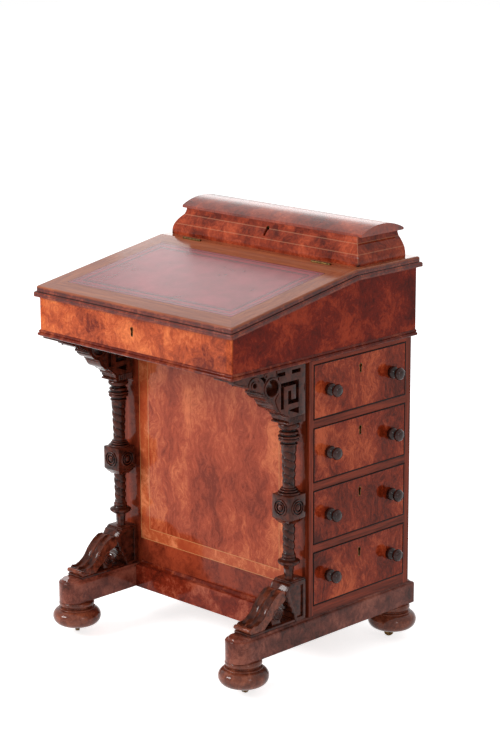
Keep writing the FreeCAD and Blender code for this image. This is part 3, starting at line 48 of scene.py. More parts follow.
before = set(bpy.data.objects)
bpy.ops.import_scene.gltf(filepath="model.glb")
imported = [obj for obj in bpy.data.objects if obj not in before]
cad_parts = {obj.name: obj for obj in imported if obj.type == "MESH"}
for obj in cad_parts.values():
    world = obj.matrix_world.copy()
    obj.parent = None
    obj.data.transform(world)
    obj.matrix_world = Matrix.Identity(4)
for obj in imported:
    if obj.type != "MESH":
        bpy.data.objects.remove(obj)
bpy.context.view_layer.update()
MM = 0.001
DRAWERS = (1, 2, 3, 4)
CORNERS = ("front_left", "front_right", "back_left", "back_right")

# Widths in millimetres that the boxes of the frame's nodes don't give.
RUNNER_WIDTH = 59.5
FOOT_RADIUS = 49.7


# ---------------------------------------------------------------- drawing


def linear(code):
    """An sRGB hex colour as linear values."""
    values = [int(code[i:i + 2], 16) / 255 for i in (1, 3, 5)]
    return tuple(v / 12.92 if v <= 0.04045 else ((v + 0.055) / 1.055) ** 2.4 for v in values)


def box(node):
    """Lowest and highest corner of a node, in millimetres."""
    low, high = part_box(node)
    return low / MM, high / MM


def lengths(group):
    """The sizes of a property group, lengths in millimetres."""
    sizes = {key: getattr(group, key) for key in group.__annotations__}
    return SimpleNamespace(**{key: value / MM if isinstance(value, float) else value
                              for key, value in sizes.items()})


def arc(start, end, bend, steps):
    """Points after start, up to end, on an arc that turns left (bend above 0) or right."""
    a, b = Vector(start[:2]), Vector(end[:2])
    half = (b - a).length / 2
    radius = max(abs(bend), half)
    way = 1 if bend > 0 else -1
    side = Vector((a.y - b.y, b.x - a.x)).normalized() * way
    centre = (a + b) / 2 + side * sqrt(radius ** 2 - half ** 2)
    turn = 2 * asin(half / radius) * way / steps
    return [tuple(centre + Matrix.Rotation(turn * k, 2) @ (a - centre))
            for k in range(1, steps + 1)]


def drawn(points, steps=8):
    """A line through points (across, up), where a third number is the radius of an arc."""
    line = []
    for index, point in enumerate(points):
        if len(point) == 3:
            line += arc(points[index - 1], point, point[2], steps)
        else:
            line.append(point)
    return line


def ring_of(bm, points):
    """A closed loop of edges through points in space."""
    verts = [bm.verts.new(point) for point in points]
    return [bm.edges.new((verts[i - 1], vert)) for i, vert in enumerate(verts)]


def loft(rings):
    """A closed skin through rings that have the same number of points."""
    bm = bmesh.new()
    loops = [ring_of(bm, ring) for ring in rings]
    for lower, upper in zip(loops, loops[1:]):
        bmesh.ops.bridge_loops(bm, edges=lower + upper)
    for end in (loops[0], loops[-1]):
        bmesh.ops.edgeloop_fill(bm, edges=end)
    return bm


def lathe(profile, steps=64):
    """A piece turned about Z from its half section of (radius, height)."""
    bm = bmesh.new()
    verts = [bm.verts.new((radius, 0, height)) for radius, height in profile]
    edges = [bm.edges.new(pair) for pair in zip(verts, verts[1:])]
    bmesh.ops.spin(bm, geom=verts + edges, axis=(0, 0, 1), angle=2 * pi, steps=steps,
                   use_merge=True)
    bmesh.ops.remove_doubles(bm, verts=bm.verts, dist=0.001)
    return bm


def plate(outline, thickness, windows=()):
    """A board in the YZ plane with piercings, from X = 0 to its thickness."""
    bm = bmesh.new()
    edges = []
    for line in (outline, *windows):
        edges += ring_of(bm, [(0, y, z) for y, z in line])
    bmesh.ops.triangle_fill(bm, edges=edges, use_beauty=True, normal=(1, 0, 0))
    grown = bmesh.ops.extrude_face_region(bm, geom=bm.faces[:])
    verts = [item for item in grown["geom"] if isinstance(item, bmesh.types.BMVert)]
    bmesh.ops.translate(bm, vec=(thickness, 0, 0), verts=verts)
    bmesh.ops.recalc_face_normals(bm, faces=bm.faces)
    return bm


def block(low, high):
    """A rectangular block between two corners."""
    bm = bmesh.new()
    bmesh.ops.create_cube(bm, size=1)
    span = Vector(high) - Vector(low)
    bmesh.ops.scale(bm, vec=span, verts=bm.verts)
    bmesh.ops.translate(bm, vec=Vector(low) + span / 2, verts=bm.verts)
    return bm


def eased(bm, width, segments=2, angle=30):
    """Soften the edges that turn by more than an angle."""
    edges = [edge for edge in bm.edges
             if edge.is_manifold and edge.calc_face_angle() > radians(angle)]
    bmesh.ops.bevel(bm, geom=edges, offset=width, segments=segments, profile=0.5,
                    affect="EDGES", material=-1, clamp_overlap=True)
    return bm


def moved(bm, x=0, y=0, z=0):
    """Move a shape."""
    bmesh.ops.translate(bm, vec=(x, y, z), verts=bm.verts)
    return bm


def turned(bm, degrees, axis):
    """Turn a shape about an axis through the origin."""
    bmesh.ops.rotate(bm, matrix=Matrix.Rotation(radians(degrees), 3, axis), verts=bm.verts)
    return bm


def joined(*shapes):
    """Several shapes as one."""
    whole = bmesh.new()
    for shape in shapes:
        mesh = bpy.data.meshes.new("shape")
        shape.to_mesh(mesh)
        shape.free()
        whole.from_mesh(mesh)
        bpy.data.meshes.remove(mesh)
    return whole


def both_sides(bm):
    """A shape and its mirror twin across X."""
    twin = bm.copy()
    bmesh.ops.scale(twin, vec=(-1, 1, 1), verts=twin.verts)
    bmesh.ops.reverse_faces(twin, faces=twin.faces)
    return joined(bm, twin)


def hoop(radius, thickness, start=0, turn=360, steps=48):
    """A round bead bent about X: the angle it starts at, where 0 is +Y, and its turn."""
    bm = bmesh.new()
    bmesh.ops.create_circle(bm, segments=12, radius=thickness)
    bmesh.ops.translate(bm, vec=(0, radius, 0), verts=bm.verts)
    turned(bm, start, "X")
    bmesh.ops.spin(bm, geom=bm.verts[:] + bm.edges[:], axis=(1, 0, 0), angle=radians(turn),
                   steps=steps, use_merge=turn == 360)
    if turn != 360:
        bmesh.ops.holes_fill(bm, edges=[edge for edge in bm.edges if edge.is_boundary])
    return bm


def place(name, bm, body, material, replaces=(), smooth=38):
    """Make a shape an object that rides on a body and stands for the frame's nodes."""
    bmesh.ops.scale(bm, vec=(MM, MM, MM), verts=bm.verts)
    bmesh.ops.recalc_face_normals(bm, faces=bm.faces)
    mesh = bpy.data.meshes.new(name)
    bm.to_mesh(mesh)
    bm.free()
    mesh.shade_smooth()
    mesh.set_sharp_from_angle(angle=radians(smooth))
    mesh.materials.append(bpy.data.materials[material])
    piece = bpy.data.objects.new(name, mesh)
    bpy.context.scene.collection.objects.link(piece)
    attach(piece, body)
    if replaces:
        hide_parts(*replaces)
    return piece


# ---------------------------------------------------------------- finishes


def add(tree, kind, inputs=(), stops=(), **settings):
    """Add a node with its settings, colour stops and inputs, each a value or a socket."""
    node = tree.nodes.new("ShaderNode" + kind)
    for name, value in settings.items():
        setattr(node, name, value)
    for index, (position, colour) in enumerate(stops):
        elements = node.color_ramp.elements
        stop = elements[index] if index < 2 else elements.new(position)
        stop.position = position
        stop.color = colour
    for name, value in dict(inputs).items():
        if isinstance(value, bpy.types.NodeSocket):
            tree.links.new(value, node.inputs[name])
        else:
            node.inputs[name].default_value = value
    return node


def fine(across):
    """The scale of a texture whose features are this many millimetres across."""
    return 1 / (across * MM)


def shades(colours, wood):
    """The dark clouds, middle colour and light figure of a burr veneer."""
    return [getattr(colours, wood + shade) for shade in ("_dark", "", "_light")]


def new_material(name):
    """A material with its node tree, shader and the point of the board that is coloured."""
    material = bpy.data.materials.new(name)
    material.use_nodes = True
    tree = material.node_tree
    shader = tree.nodes["Principled BSDF"]
    point = add(tree, "TexCoord").outputs["Object"]
    return tree, shader, point


def polish(tree, shader, point, colour, film, gloss=0.06, ripple=0.05, roughness=0.35, coat=1.0):
    """French polish over a colour: a thin clear film, flat but for a slow ripple."""
    ripple_size = 14
    tree.links.new(colour, shader.inputs["Base Color"])
    shader.inputs["IOR"].default_value = 1.5
    shader.inputs["Specular IOR Level"].default_value = 0.0 if coat else 0.5
    shader.inputs["Roughness"].default_value = roughness
    shader.inputs["Coat Weight"].default_value = coat
    shader.inputs["Coat Roughness"].default_value = gloss
    shader.inputs["Coat IOR"].default_value = film
    if ripple:
        waves = add(tree, "TexNoise", {"Vector": point, "Scale": fine(ripple_size), "Detail": 2})
        bump = add(tree, "Bump", {"Height": waves.outputs["Fac"], "Strength": ripple,
                                  "Distance": MM})
        tree.links.new(bump.outputs["Normal"], shader.inputs["Coat Normal"])


def mingled(tree, *patterns):
    """The sum of cloudy patterns, each with its weight."""
    share = 0.0
    for weight, pattern in patterns:
        clouds = add(tree, "TexNoise", pattern).outputs["Fac"]
        share = add(tree, "Math", {0: clouds, 1: weight, 2: share},
                    operation="MULTIPLY_ADD").outputs[0]
    return share


def burr_colour(tree, point, dark, middle, light, figure, contrast, flame=1.0):
    """Colour of burr veneer: clouds drawn out upwards, curling grain, eyes and fine flecks."""
    bend = 0.6
    eye_size, eye_strength = 8, 0.4
    curl = add(tree, "TexNoise", {"Vector": point, "Scale": fine(figure * bend), "Detail": 2,
                                  "Roughness": 0.5})
    centred = add(tree, "VectorMath", {0: curl.outputs["Color"], 1: (0.5, 0.5, 0.5)},
                  operation="SUBTRACT")
    bent = add(tree, "VectorMath", {0: centred.outputs[0], "Scale": figure * MM * bend},
               operation="SCALE")
    swirl = add(tree, "VectorMath", {0: point, 1: bent.outputs[0]}, operation="ADD").outputs[0]
    risen, upright = [add(tree, "VectorMath", {0: swirl, 1: (1, 1, stretch)},
                          operation="MULTIPLY").outputs[0]
                      for stretch in (flame, flame * 0.75)]
    grain = {"Vector": upright, "Scale": fine(7), "Detail": 6, "Roughness": 0.7,
             "Distortion": 0.4}
    clouds = {"Vector": risen, "Scale": fine(figure), "Detail": 5, "Roughness": 0.6}
    flecks = {"Vector": swirl, "Scale": fine(2.2), "Detail": 3, "Roughness": 0.7}
    share = mingled(tree, (0.30, grain), (0.56, clouds), (0.14, flecks))
    spread = add(tree, "MapRange", {"Value": share, "From Min": 0.5 - contrast,
                                    "From Max": 0.5 + contrast}).outputs[0]
    wood = add(tree, "ValToRGB", {"Fac": spread},
               stops=[(0.0, dark), (1.0, light), (0.5, middle)]).outputs["Color"]
    cells = add(tree, "TexVoronoi", {"Vector": swirl, "Scale": fine(eye_size)}).outputs["Distance"]
    eyes = add(tree, "MapRange", {"Value": cells, "From Min": 0.05, "From Max": 0.4,
                                  "To Min": 1.0, "To Max": 0.0}).outputs[0]
    cluster = add(tree, "TexNoise", {"Vector": swirl, "Scale": fine(figure * bend),
                                     "Detail": 1}).outputs["Fac"]
    patch = add(tree, "MapRange", {"Value": cluster, "From Min": 0.5, "From Max": 0.66}).outputs[0]
    eyed = add(tree, "Math", {0: eyes, 1: patch}, operation="MULTIPLY").outputs[0]
    eyed = add(tree, "Math", {0: eyed, 1: eye_strength}, operation="MULTIPLY").outputs[0]
    return add(tree, "Mix", {0: eyed, 6: wood, 7: dark}, data_type="RGBA").outputs[2]


def grain_colour(tree, point, dark, light, along, spacing=2.4):
    """Colour of straight-grained timber, its grain along one axis."""
    squeeze = [0.06 if axis == along else 1 for axis in "XYZ"]
    run = add(tree, "VectorMath", {0: point, 1: squeeze}, operation="MULTIPLY").outputs[0]
    bands = {"Vector": run, "Scale": fine(spacing * 4), "Detail": 3, "Roughness": 0.55,
             "Distortion": 0.6}
    pores = {"Vector": run, "Scale": fine(spacing), "Detail": 4, "Roughness": 0.7}
    share = mingled(tree, (0.6, bands), (0.4, pores))
    return add(tree, "ValToRGB", {"Fac": share},
               stops=[(0.36, dark), (0.64, light)]).outputs["Color"]


def plain_walnut(tree, point, colours, along, spacing=2.4):
    """Colour of solid walnut, its grain along one axis."""
    return grain_colour(tree, point, colours.solid_dark, colours.solid, along, spacing)


def line_mask(tree, distance, width):
    """1 where a signed distance is within half a width of 0."""
    away = add(tree, "Math", {0: distance}, operation="ABSOLUTE").outputs[0]
    return add(tree, "Math", {0: away, 1: width * MM / 2}, operation="LESS_THAN").outputs[0]


def past_edges(tree, split, node):
    """Distances past a node's sides and past its front or rear, both below 0 within it."""
    low, high = box(node)
    across = add(tree, "Math", {0: split["X"]}, operation="ABSOLUTE").outputs[0]
    side = add(tree, "Math", {0: across, 1: high.x * MM}, operation="SUBTRACT").outputs[0]
    front = add(tree, "Math", {0: low.y * MM, 1: split["Y"]}, operation="SUBTRACT").outputs[0]
    rear = add(tree, "Math", {0: split["Y"], 1: high.y * MM}, operation="SUBTRACT").outputs[0]
    return side, add(tree, "Math", {0: front, 1: rear}, operation="MAXIMUM").outputs[0]


def plain_within(tree, point, colours, veneer, half, front, rear):
    """Veneer on the faces that show, and plain walnut on those within a box."""
    skin = 0.4
    split = add(tree, "SeparateXYZ", {0: point}).outputs
    across = add(tree, "Math", {0: split["X"]}, operation="ABSOLUTE").outputs[0]
    inside = add(tree, "Math", {0: across, 1: (half + skin) * MM}, operation="LESS_THAN").outputs[0]
    for way, edge in (("GREATER_THAN", front - skin), ("LESS_THAN", rear + skin)):
        within = add(tree, "Math", {0: split["Y"], 1: edge * MM}, operation=way).outputs[0]
        inside = add(tree, "Math", {0: inside, 1: within}, operation="MINIMUM").outputs[0]
    plain = plain_walnut(tree, point, colours, "Y", spacing=3.0)
    return add(tree, "Mix", {0: inside, 6: veneer, 7: plain}, data_type="RGBA").outputs[2]


def case_inside():
    """Half width, front and rear of the room inside the case."""
    low, high = box("desk_bottom_board")
    return high.x, low.y, high.y


def make_burr(colours, name, wood, figure, contrast, film, flame=1.0, gloss=0.06, within=None):
    """Burr walnut veneer, french polished: a clouded figure under a wet gloss."""
    tree, shader, point = new_material(name)
    colour = burr_colour(tree, point, *shades(colours, wood), figure, contrast, flame)
    if within:
        colour = plain_within(tree, point, colours, colour, *within)
    polish(tree, shader, point, colour, film, gloss)


def make_side(colours):
    """The case's sides: deep burr walnut, the front's paler veneer lapped round the corner."""
    lap, ease = 3.4, 0.6
    tree, shader, point = new_material("burr_walnut_side")
    low, _ = box("desk_sides")
    side = burr_colour(tree, point, *shades(colours, "side"), figure=70, contrast=0.1)
    lapped = burr_colour(tree, point, *shades(colours, "frieze"), figure=60, contrast=0.11)
    depth = add(tree, "SeparateXYZ", {0: point}).outputs["Y"]
    on_front = add(tree, "MapRange", {"Value": depth, "From Min": (low.y + lap) * MM,
                                      "From Max": (low.y + ease) * MM}).outputs[0]
    veneer = add(tree, "Mix", {0: on_front, 6: side, 7: lapped}, data_type="RGBA").outputs[2]
    colour = plain_within(tree, point, colours, veneer, *case_inside())
    polish(tree, shader, point, colour, film=1.16)


def make_panel(colours, inlay):
    """The knee panel: burr centre, a paler crossband and two lines of boxwood stringing."""
    tree, shader, point = new_material("burr_walnut_panel")
    split = add(tree, "SeparateXYZ", {0: point}).outputs
    across = add(tree, "Math", {0: split["X"]}, operation="ABSOLUTE").outputs[0]
    distances = []
    for half, bottom in ((inlay.outer_half, inlay.outer_bottom),
                         (inlay.inner_half, inlay.inner_bottom)):
        side = add(tree, "Math", {0: across, 1: half * MM}, operation="SUBTRACT").outputs[0]
        foot = add(tree, "Math", {0: bottom * MM, 1: split["Z"]}, operation="SUBTRACT").outputs[0]
        distances.append(add(tree, "Math", {0: side, 1: foot}, operation="MAXIMUM").outputs[0])
    outer, inner = distances
    colour = burr_colour(tree, point, *shades(colours, "panel"), figure=100, contrast=0.1,
                         flame=0.4)
    band = burr_colour(tree, point, colours.panel, colours.band, colours.band_light,
                       figure=40, contrast=0.11)
    margin = burr_colour(tree, point, colours.margin_dark, colours.margin, colours.panel,
                         figure=60, contrast=0.12)
    for distance, veneer in ((inner, band), (outer, margin)):
        beyond = add(tree, "Math", {0: distance, 1: 0.0}, operation="GREATER_THAN").outputs[0]
        colour = add(tree, "Mix", {0: beyond, 6: colour, 7: veneer}, data_type="RGBA").outputs[2]
    for distance in distances:
        string = line_mask(tree, distance, inlay.string_width)
        colour = add(tree, "Mix", {0: string, 6: colour, 7: colours.boxwood},
                     data_type="RGBA").outputs[2]
    polish(tree, shader, point, colour, film=1.24, gloss=0.09, ripple=0.06)


def make_straight(name, dark, light, along, spacing=2.4, film=1.3, roughness=0.38, coat=1.0):
    """Straight-grained timber, stained or clear: fine lines of pores along the board."""
    tree, shader, point = new_material(name)
    colour = grain_colour(tree, point, dark, light, along, spacing)
    polish(tree, shader, point, colour, film, gloss=0.08, ripple=0.04, roughness=roughness,
           coat=coat)


def make_frame(colours):
    """The drawer frame: rails and stiles of solid walnut, each with its grain along it."""
    tree, shader, point = new_material("polished_walnut_frame")
    low, high = box("drawer_1_front")
    depth = add(tree, "SeparateXYZ", {0: point}).outputs["Y"]
    away = add(tree, "Math", {0: depth, 1: (low.y + high.y) / 2 * MM},
               operation="SUBTRACT").outputs[0]
    away = add(tree, "Math", {0: away}, operation="ABSOLUTE").outputs[0]
    on_stile = add(tree, "Math", {0: away, 1: (high.y - low.y) / 2 * MM},
                   operation="GREATER_THAN").outputs[0]
    rails, stiles = [plain_walnut(tree, point, colours, along) for along in "YZ"]
    colour = add(tree, "Mix", {0: on_stile, 6: rails, 7: stiles}, data_type="RGBA").outputs[2]
    polish(tree, shader, point, colour, film=1.2, gloss=0.08, ripple=0.04, roughness=0.38)


def make_gallery(colours, inlay):
    """Burr walnut over the gallery's swelling walls, worn pale along the ridges and mitres."""
    ridge_width, mitre_width, rubbed = 1.6, 2.0, 0.28
    dark_reach, dark_core, foot_core = 9, 2, 1
    tree, shader, point = new_material("burr_walnut_gallery")
    low, high = box("gallery_front")
    split = add(tree, "SeparateXYZ", {0: point}).outputs
    colour = burr_colour(tree, point, *shades(colours, "gallery"), figure=50, contrast=0.1)
    across = add(tree, "Math", {0: split["X"]}, operation="ABSOLUTE").outputs[0]
    mitre = add(tree, "Math", {0: across, 1: split["Y"]}, operation="ADD").outputs[0]
    mitre = add(tree, "Math", {0: mitre, 1: (high.x + low.y) * MM},
                operation="SUBTRACT").outputs[0]
    upper, lower = [add(tree, "Math", {0: split["Z"], 1: (low.z + ridge) * MM},
                        operation="SUBTRACT").outputs[0] for ridge in (inlay.ridge, inlay.swell)]
    for distance, width in ((upper, ridge_width), (lower, ridge_width), (mitre, mitre_width)):
        worn = add(tree, "Math", {0: line_mask(tree, distance, width), 1: rubbed},
                   operation="MULTIPLY").outputs[0]
        colour = add(tree, "Mix", {0: worn, 6: colour, 7: colours.worn},
                     data_type="RGBA").outputs[2]
    # Darker towards the foot near each front mitre: the colour is drawn towards carved_dark within
    # a few millimetres of both.
    foot = add(tree, "MapRange", {"Value": split["Z"], "From Min": (low.z + dark_reach) * MM,
                                  "From Max": (low.z + foot_core) * MM}).outputs[0]
    near_mitre = add(tree, "Math", {0: mitre}, operation="ABSOLUTE").outputs[0]
    near_mitre = add(tree, "MapRange", {"Value": near_mitre, "From Min": dark_reach * MM,
                                        "From Max": dark_core * MM}).outputs[0]
    stained = add(tree, "Math", {0: foot, 1: near_mitre}, operation="MULTIPLY").outputs[0]
    colour = add(tree, "Mix", {0: stained, 6: colour, 7: colours.carved_dark},
                 data_type="RGBA").outputs[2]
    back_low, back_high = box("gallery_back")
    colour = plain_within(tree, point, colours, colour, back_high.x, high.y, back_low.y)
    polish(tree, shader, point, colour, film=1.25, gloss=0.07)


def make_banding(colours, inlay, name, node, banded):
    """A moulded board with its top crossbanded and dark lines in the quirks of its edge."""
    nose_depth, quirk_width, quirk_shade, underside_skin = 4, 1.1, 0.7, 0.6
    tree, shader, point = new_material(name)
    split = add(tree, "SeparateXYZ", {0: point}).outputs
    leather_high = box("writing_lid_leather")[1]
    low, high = box(node)
    slope = (high.z - leather_high.z) / (high.y - leather_high.y) if banded else 0.0
    surface = add(tree, "Math", {0: split["Y"], 1: slope, 2: (high.z - high.y * slope) * MM},
                  operation="MULTIPLY_ADD").outputs[0]
    below = add(tree, "Math", {0: surface, 1: split["Z"]}, operation="SUBTRACT").outputs[0]
    side, ends = past_edges(tree, split, "writing_lid_leather")
    on_side = add(tree, "Math", {0: side, 1: ends}, operation="GREATER_THAN").outputs[0]
    rails, stiles = [grain_colour(tree, point, colours.banding_dark, colours.banding, along)
                     for along in "XY"]
    colour = add(tree, "Mix", {0: on_side, 6: rails, 7: stiles}, data_type="RGBA").outputs[2]
    if banded:
        around = add(tree, "Math", {0: side, 1: ends}, operation="MAXIMUM").outputs[0]
        groove = line_mask(tree, around, inlay.groove_width)
        colour = add(tree, "Mix", {0: groove, 6: colour, 7: colours.carved_dark},
                     data_type="RGBA").outputs[2]
    nose = add(tree, "MapRange", {"Value": below, "From Min": MM,
                                  "From Max": nose_depth * MM}).outputs[0]
    edge = burr_colour(tree, point, *shades(colours, "mould"), figure=30, contrast=0.14)
    colour = add(tree, "Mix", {0: nose, 6: colour, 7: edge}, data_type="RGBA").outputs[2]
    thickness = high.z + (low.y - high.y) * slope - low.z
    underside = add(tree, "Math", {0: below, 1: (thickness - underside_skin) * MM},
                    operation="GREATER_THAN").outputs[0]
    plain = plain_walnut(tree, point, colours, "X", spacing=3.0)
    colour = add(tree, "Mix", {0: underside, 6: colour, 7: plain}, data_type="RGBA").outputs[2]
    # Painted shade: a dark line at the depth of each quirk and step of the moulded edge.
    for depth in (inlay.quirk, inlay.step, inlay.low_quirk):
        away = add(tree, "Math", {0: below, 1: depth * MM}, operation="SUBTRACT").outputs[0]
        shade = add(tree, "Math", {0: line_mask(tree, away, quirk_width), 1: quirk_shade},
                    operation="MULTIPLY").outputs[0]
        colour = add(tree, "Mix", {0: shade, 6: colour, 7: colours.carved_dark},
                     data_type="RGBA").outputs[2]
    polish(tree, shader, point, colour, film=1.36, gloss=0.12, ripple=0.06, roughness=0.36)


def make_carved(name, dark, light, gloss=0.08, film=1.27):
    """Carved walnut, stained nearly black and waxed: rubbed brown on the high parts."""
    tree, shader, point = new_material(name)
    # Pointiness keeps the hollows dark as painted shade and lets the high parts show brown, partly
    # as rubbed wear and partly as painted light.
    proud = add(tree, "NewGeometry").outputs["Pointiness"]
    high = add(tree, "MapRange", {"Value": proud, "From Min": 0.46, "From Max": 0.53}).outputs[0]
    patch = add(tree, "TexNoise", {"Vector": point, "Scale": fine(13), "Detail": 5,
                                   "Roughness": 0.65}).outputs[0]
    patch = add(tree, "MapRange", {"Value": patch, "From Min": 0.32, "From Max": 0.62}).outputs[0]
    share = add(tree, "Math", {0: high, 1: patch}, operation="MULTIPLY").outputs[0]
    colour = add(tree, "Mix", {0: share, 6: dark, 7: light}, data_type="RGBA").outputs[2]
    polish(tree, shader, point, colour, film, gloss, ripple=0.0, roughness=0.34)
    pores = add(tree, "TexNoise", {"Vector": point, "Scale": fine(1.6), "Detail": 4}).outputs[0]
    bump = add(tree, "Bump", {"Height": pores, "Strength": 0.12, "Distance": MM})
    tree.links.new(bump.outputs["Normal"], shader.inputs["Normal"])


def make_leather(colours, inlay):
    """Glazed skiver: a fine pebble under a sheen, with three tooled lines round the border."""
    fade_size, pebble_size, tooling_depth = 70, 1.8, 1.5
    outer_width, middle_width, inner_width = 2.0, 2.6, 1.4
    tree, shader, point = new_material("glazed_maroon_skiver")
    split = add(tree, "SeparateXYZ", {0: point}).outputs
    side, ends = past_edges(tree, split, "writing_lid_leather")
    inset = add(tree, "Math", {0: side, 1: ends}, operation="MAXIMUM").outputs[0]
    fade = add(tree, "TexNoise", {"Vector": point, "Scale": fine(fade_size), "Detail": 5,
                                  "Roughness": 0.65}).outputs["Fac"]
    colour = add(tree, "ValToRGB", {"Fac": fade}, stops=[
        (0.3, colours.leather_dark), (0.7, colours.leather)]).outputs["Color"]
    tooling = 0.0
    for depth, width in ((inlay.tool_outer, outer_width), (inlay.tool_middle, middle_width),
                         (inlay.tool_inner, inner_width)):
        away = add(tree, "Math", {0: inset, 1: depth * MM}, operation="ADD").outputs[0]
        line = line_mask(tree, away, width)
        tooling = add(tree, "Math", {0: line, 1: tooling}, operation="MAXIMUM").outputs[0]
        colour = add(tree, "Mix", {0: line, 6: colour, 7: colours.tooling},
                     data_type="RGBA").outputs[2]
    pebble = add(tree, "TexVoronoi", {"Vector": point, "Scale": fine(pebble_size)})
    height = add(tree, "Math", {0: tooling, 1: -tooling_depth, 2: pebble.outputs["Distance"]},
                 operation="MULTIPLY_ADD").outputs[0]
    bump = add(tree, "Bump", {"Height": height, "Strength": 0.16, "Distance": MM / 2})
    tree.links.new(bump.outputs["Normal"], shader.inputs["Normal"])
    polish(tree, shader, point, colour, film=1.7, gloss=0.26, ripple=0.1, roughness=0.42)


def make_brass(colours):
    """Aged brass: dull in the hollows and rubbed bright on the high spots."""
    tree, shader, point = new_material("aged_brass")
    tarnish = add(tree, "TexNoise", {"Vector": point, "Scale": fine(5), "Detail": 5}).outputs[0]
    colour = add(tree, "ValToRGB", {"Fac": tarnish}, stops=[
        (0.35, colours.brass_dark), (0.65, colours.brass)]).outputs["Color"]
    rough = add(tree, "MapRange", {"Value": tarnish, "To Min": 0.5, "To Max": 0.25}).outputs[0]
    tree.links.new(colour, shader.inputs["Base Color"])
    tree.links.new(rough, shader.inputs["Roughness"])
    shader.inputs["Metallic"].default_value = 1.0


# ---------------------------------------------------------------- sizes and colours


def size(name, description, millimetres):
    """A length of a property group."""
    return FloatProperty(name=name, description=description, default=millimetres * MM,
                         min=0.0, unit="LENGTH", subtype="DISTANCE", precision=5)


def hue(name, description, code):
    """A colour of a property group."""
    return FloatVectorProperty(name=name, description=description, default=linear(code),
                               size=3, min=0.0, max=1.0, subtype="COLOR")


class DavenportColours(bpy.types.PropertyGroup):
    """Colours of woods, leather and brass."""

    frieze_dark: hue("Frieze, dark", "Dark clouds of the paler burr veneer", "#6c200c")
    frieze: hue("Frieze", "Middle colour of the paler burr veneer", "#b84f26")
    frieze_light: hue("Frieze, light", "Light figure of the paler burr veneer", "#e27a42")
    panel_dark: hue("Panel, dark", "Dark clouds of the knee panel", "#742610")
    panel: hue("Panel", "Middle colour of the knee panel", "#a64428")
    panel_light: hue("Panel, light", "Light figure of the knee panel", "#d07046")
    band: hue("Band", "Middle colour of the panel's crossband", "#b45430")
    band_light: hue("Band, light", "Light figure of the panel's crossband", "#dc8054")
    margin_dark: hue("Margin, dark", "Dark figure of the panel's margin", "#561a0e")
    margin: hue("Margin", "Middle colour of the panel's margin", "#8a3620")
    # Side colours: a deeper burr veneer, darkened further as painted shade on the faces turned from
    # the left lamp.
    side_dark: hue("Side, dark", "Dark clouds of the deeper burr veneer", "#4c0f05")
    side: hue("Side", "Middle colour of the deeper burr veneer", "#761c0a")
    side_light: hue("Side, light", "Light figure of the deeper burr veneer", "#a63a1c")
    # Drawer colours: burr veneer, darkened in part as painted shade, for the drawer fronts face
    # away from the left lamp.
    drawer_dark: hue("Drawer, dark", "Dark clouds of the drawer fronts", "#521707")
    drawer: hue("Drawer", "Middle colour of the drawer fronts", "#90321a")
    drawer_light: hue("Drawer, light", "Light figure of the drawer fronts", "#c85c36")
    banding_dark: hue("Banding, dark", "Dark lines of the lid's banding", "#84402a")
    banding: hue("Banding", "Colour of the lid's banding", "#b0643e")
    solid_dark: hue("Solid walnut, dark", "Dark lines of the solid walnut", "#521c0c")
    solid: hue("Solid walnut", "Colour of the solid walnut", "#963c24")
    # The dark ground also paints shade: in the quirks of the moulded edges, in the hollows of the
    # carved pieces, and on the dark bead round the drawers.
    carved_dark: hue("Carved, dark", "Ground of the carved pieces", "#1a0a07")
    # Light lines of the dark bead that stands as painted shadow round the drawers.
    shadow_strip_light: hue("Carved, low", "Hollows of the carved pieces", "#2a130e")
    # Colours of the carved pieces, laid by pointiness: the dark ones in the hollows as painted
    # shade, the brown ones on the high parts as wear and painted light.
    knob: hue("Knob", "Rubbed parts of the knobs", "#45201a")
    carved: hue("Carved", "Rubbed parts of the carved pieces", "#5c291b")
    leg_dark: hue("Leg, dark", "Hollows of the scrolled legs", "#2a100a")
    leg: hue("Leg", "Rubbed parts of the scrolled legs", "#8c4832")
    gallery_dark: hue("Gallery, dark", "Dark clouds of the gallery", "#56180c")
    gallery: hue("Gallery", "Middle colour of the gallery", "#8e341c")
    gallery_light: hue("Gallery, light", "Light figure of the gallery", "#bd5230")
    worn: hue("Worn edges", "Veneer rubbed pale along an edge", "#d79a74")
    rail_dark: hue("Rail, dark", "Dark clouds of the cross rails", "#4c160c")
    rail: hue("Rail", "Middle colour of the cross rails", "#7e2a18")
    rail_light: hue("Rail, light", "Light figure of the cross rails", "#b05a40")
    runner_dark: hue("Runner, dark", "Dark clouds of the runners", "#3e190f")
    runner: hue("Runner", "Middle colour of the runners", "#70372a")
    runner_light: hue("Runner, light", "Light figure of the runners", "#9c5a48")
    mould_dark: hue("Moulding, dark", "Dark figure of the moulded edges", "#41140a")
    mould: hue("Moulding", "Middle colour of the moulded edges", "#6c200f")
    mould_light: hue("Moulding, light", "Light figure of the moulded edges", "#aa5030")
    foot_dark: hue("Foot, dark", "Dark figure of the turned feet", "#3a170d")
    foot: hue("Foot", "Middle colour of the turned feet", "#743a28")
    foot_light: hue("Foot, light", "Light lines of the turned feet", "#a05a40")
    boxwood: hue("Boxwood", "Stringing of the knee panel", "#c98a58")
    leather_dark: hue("Leather, dark", "Deep colour of the leather", "#7c1a24")
    leather: hue("Leather", "Faded colour of the leather", "#a2343e")
    tooling: hue("Tooling", "Blind lines pressed in the leather", "#1c0505")
    brass_dark: hue("Brass, dull", "Tarnished brass", "#3a2816")
    brass: hue("Brass", "Rubbed brass", "#72562f")
    mahogany_dark: hue("Lining, dark", "Dark lines of the drawer linings", "#73401f")
    mahogany: hue("Lining", "Colour of the drawer linings", "#a8683c")
    maple_dark: hue("Maple, dark", "Shadowed figure of the interior", "#b37a44")
    maple: hue("Maple", "Colour of the interior", "#dba870")


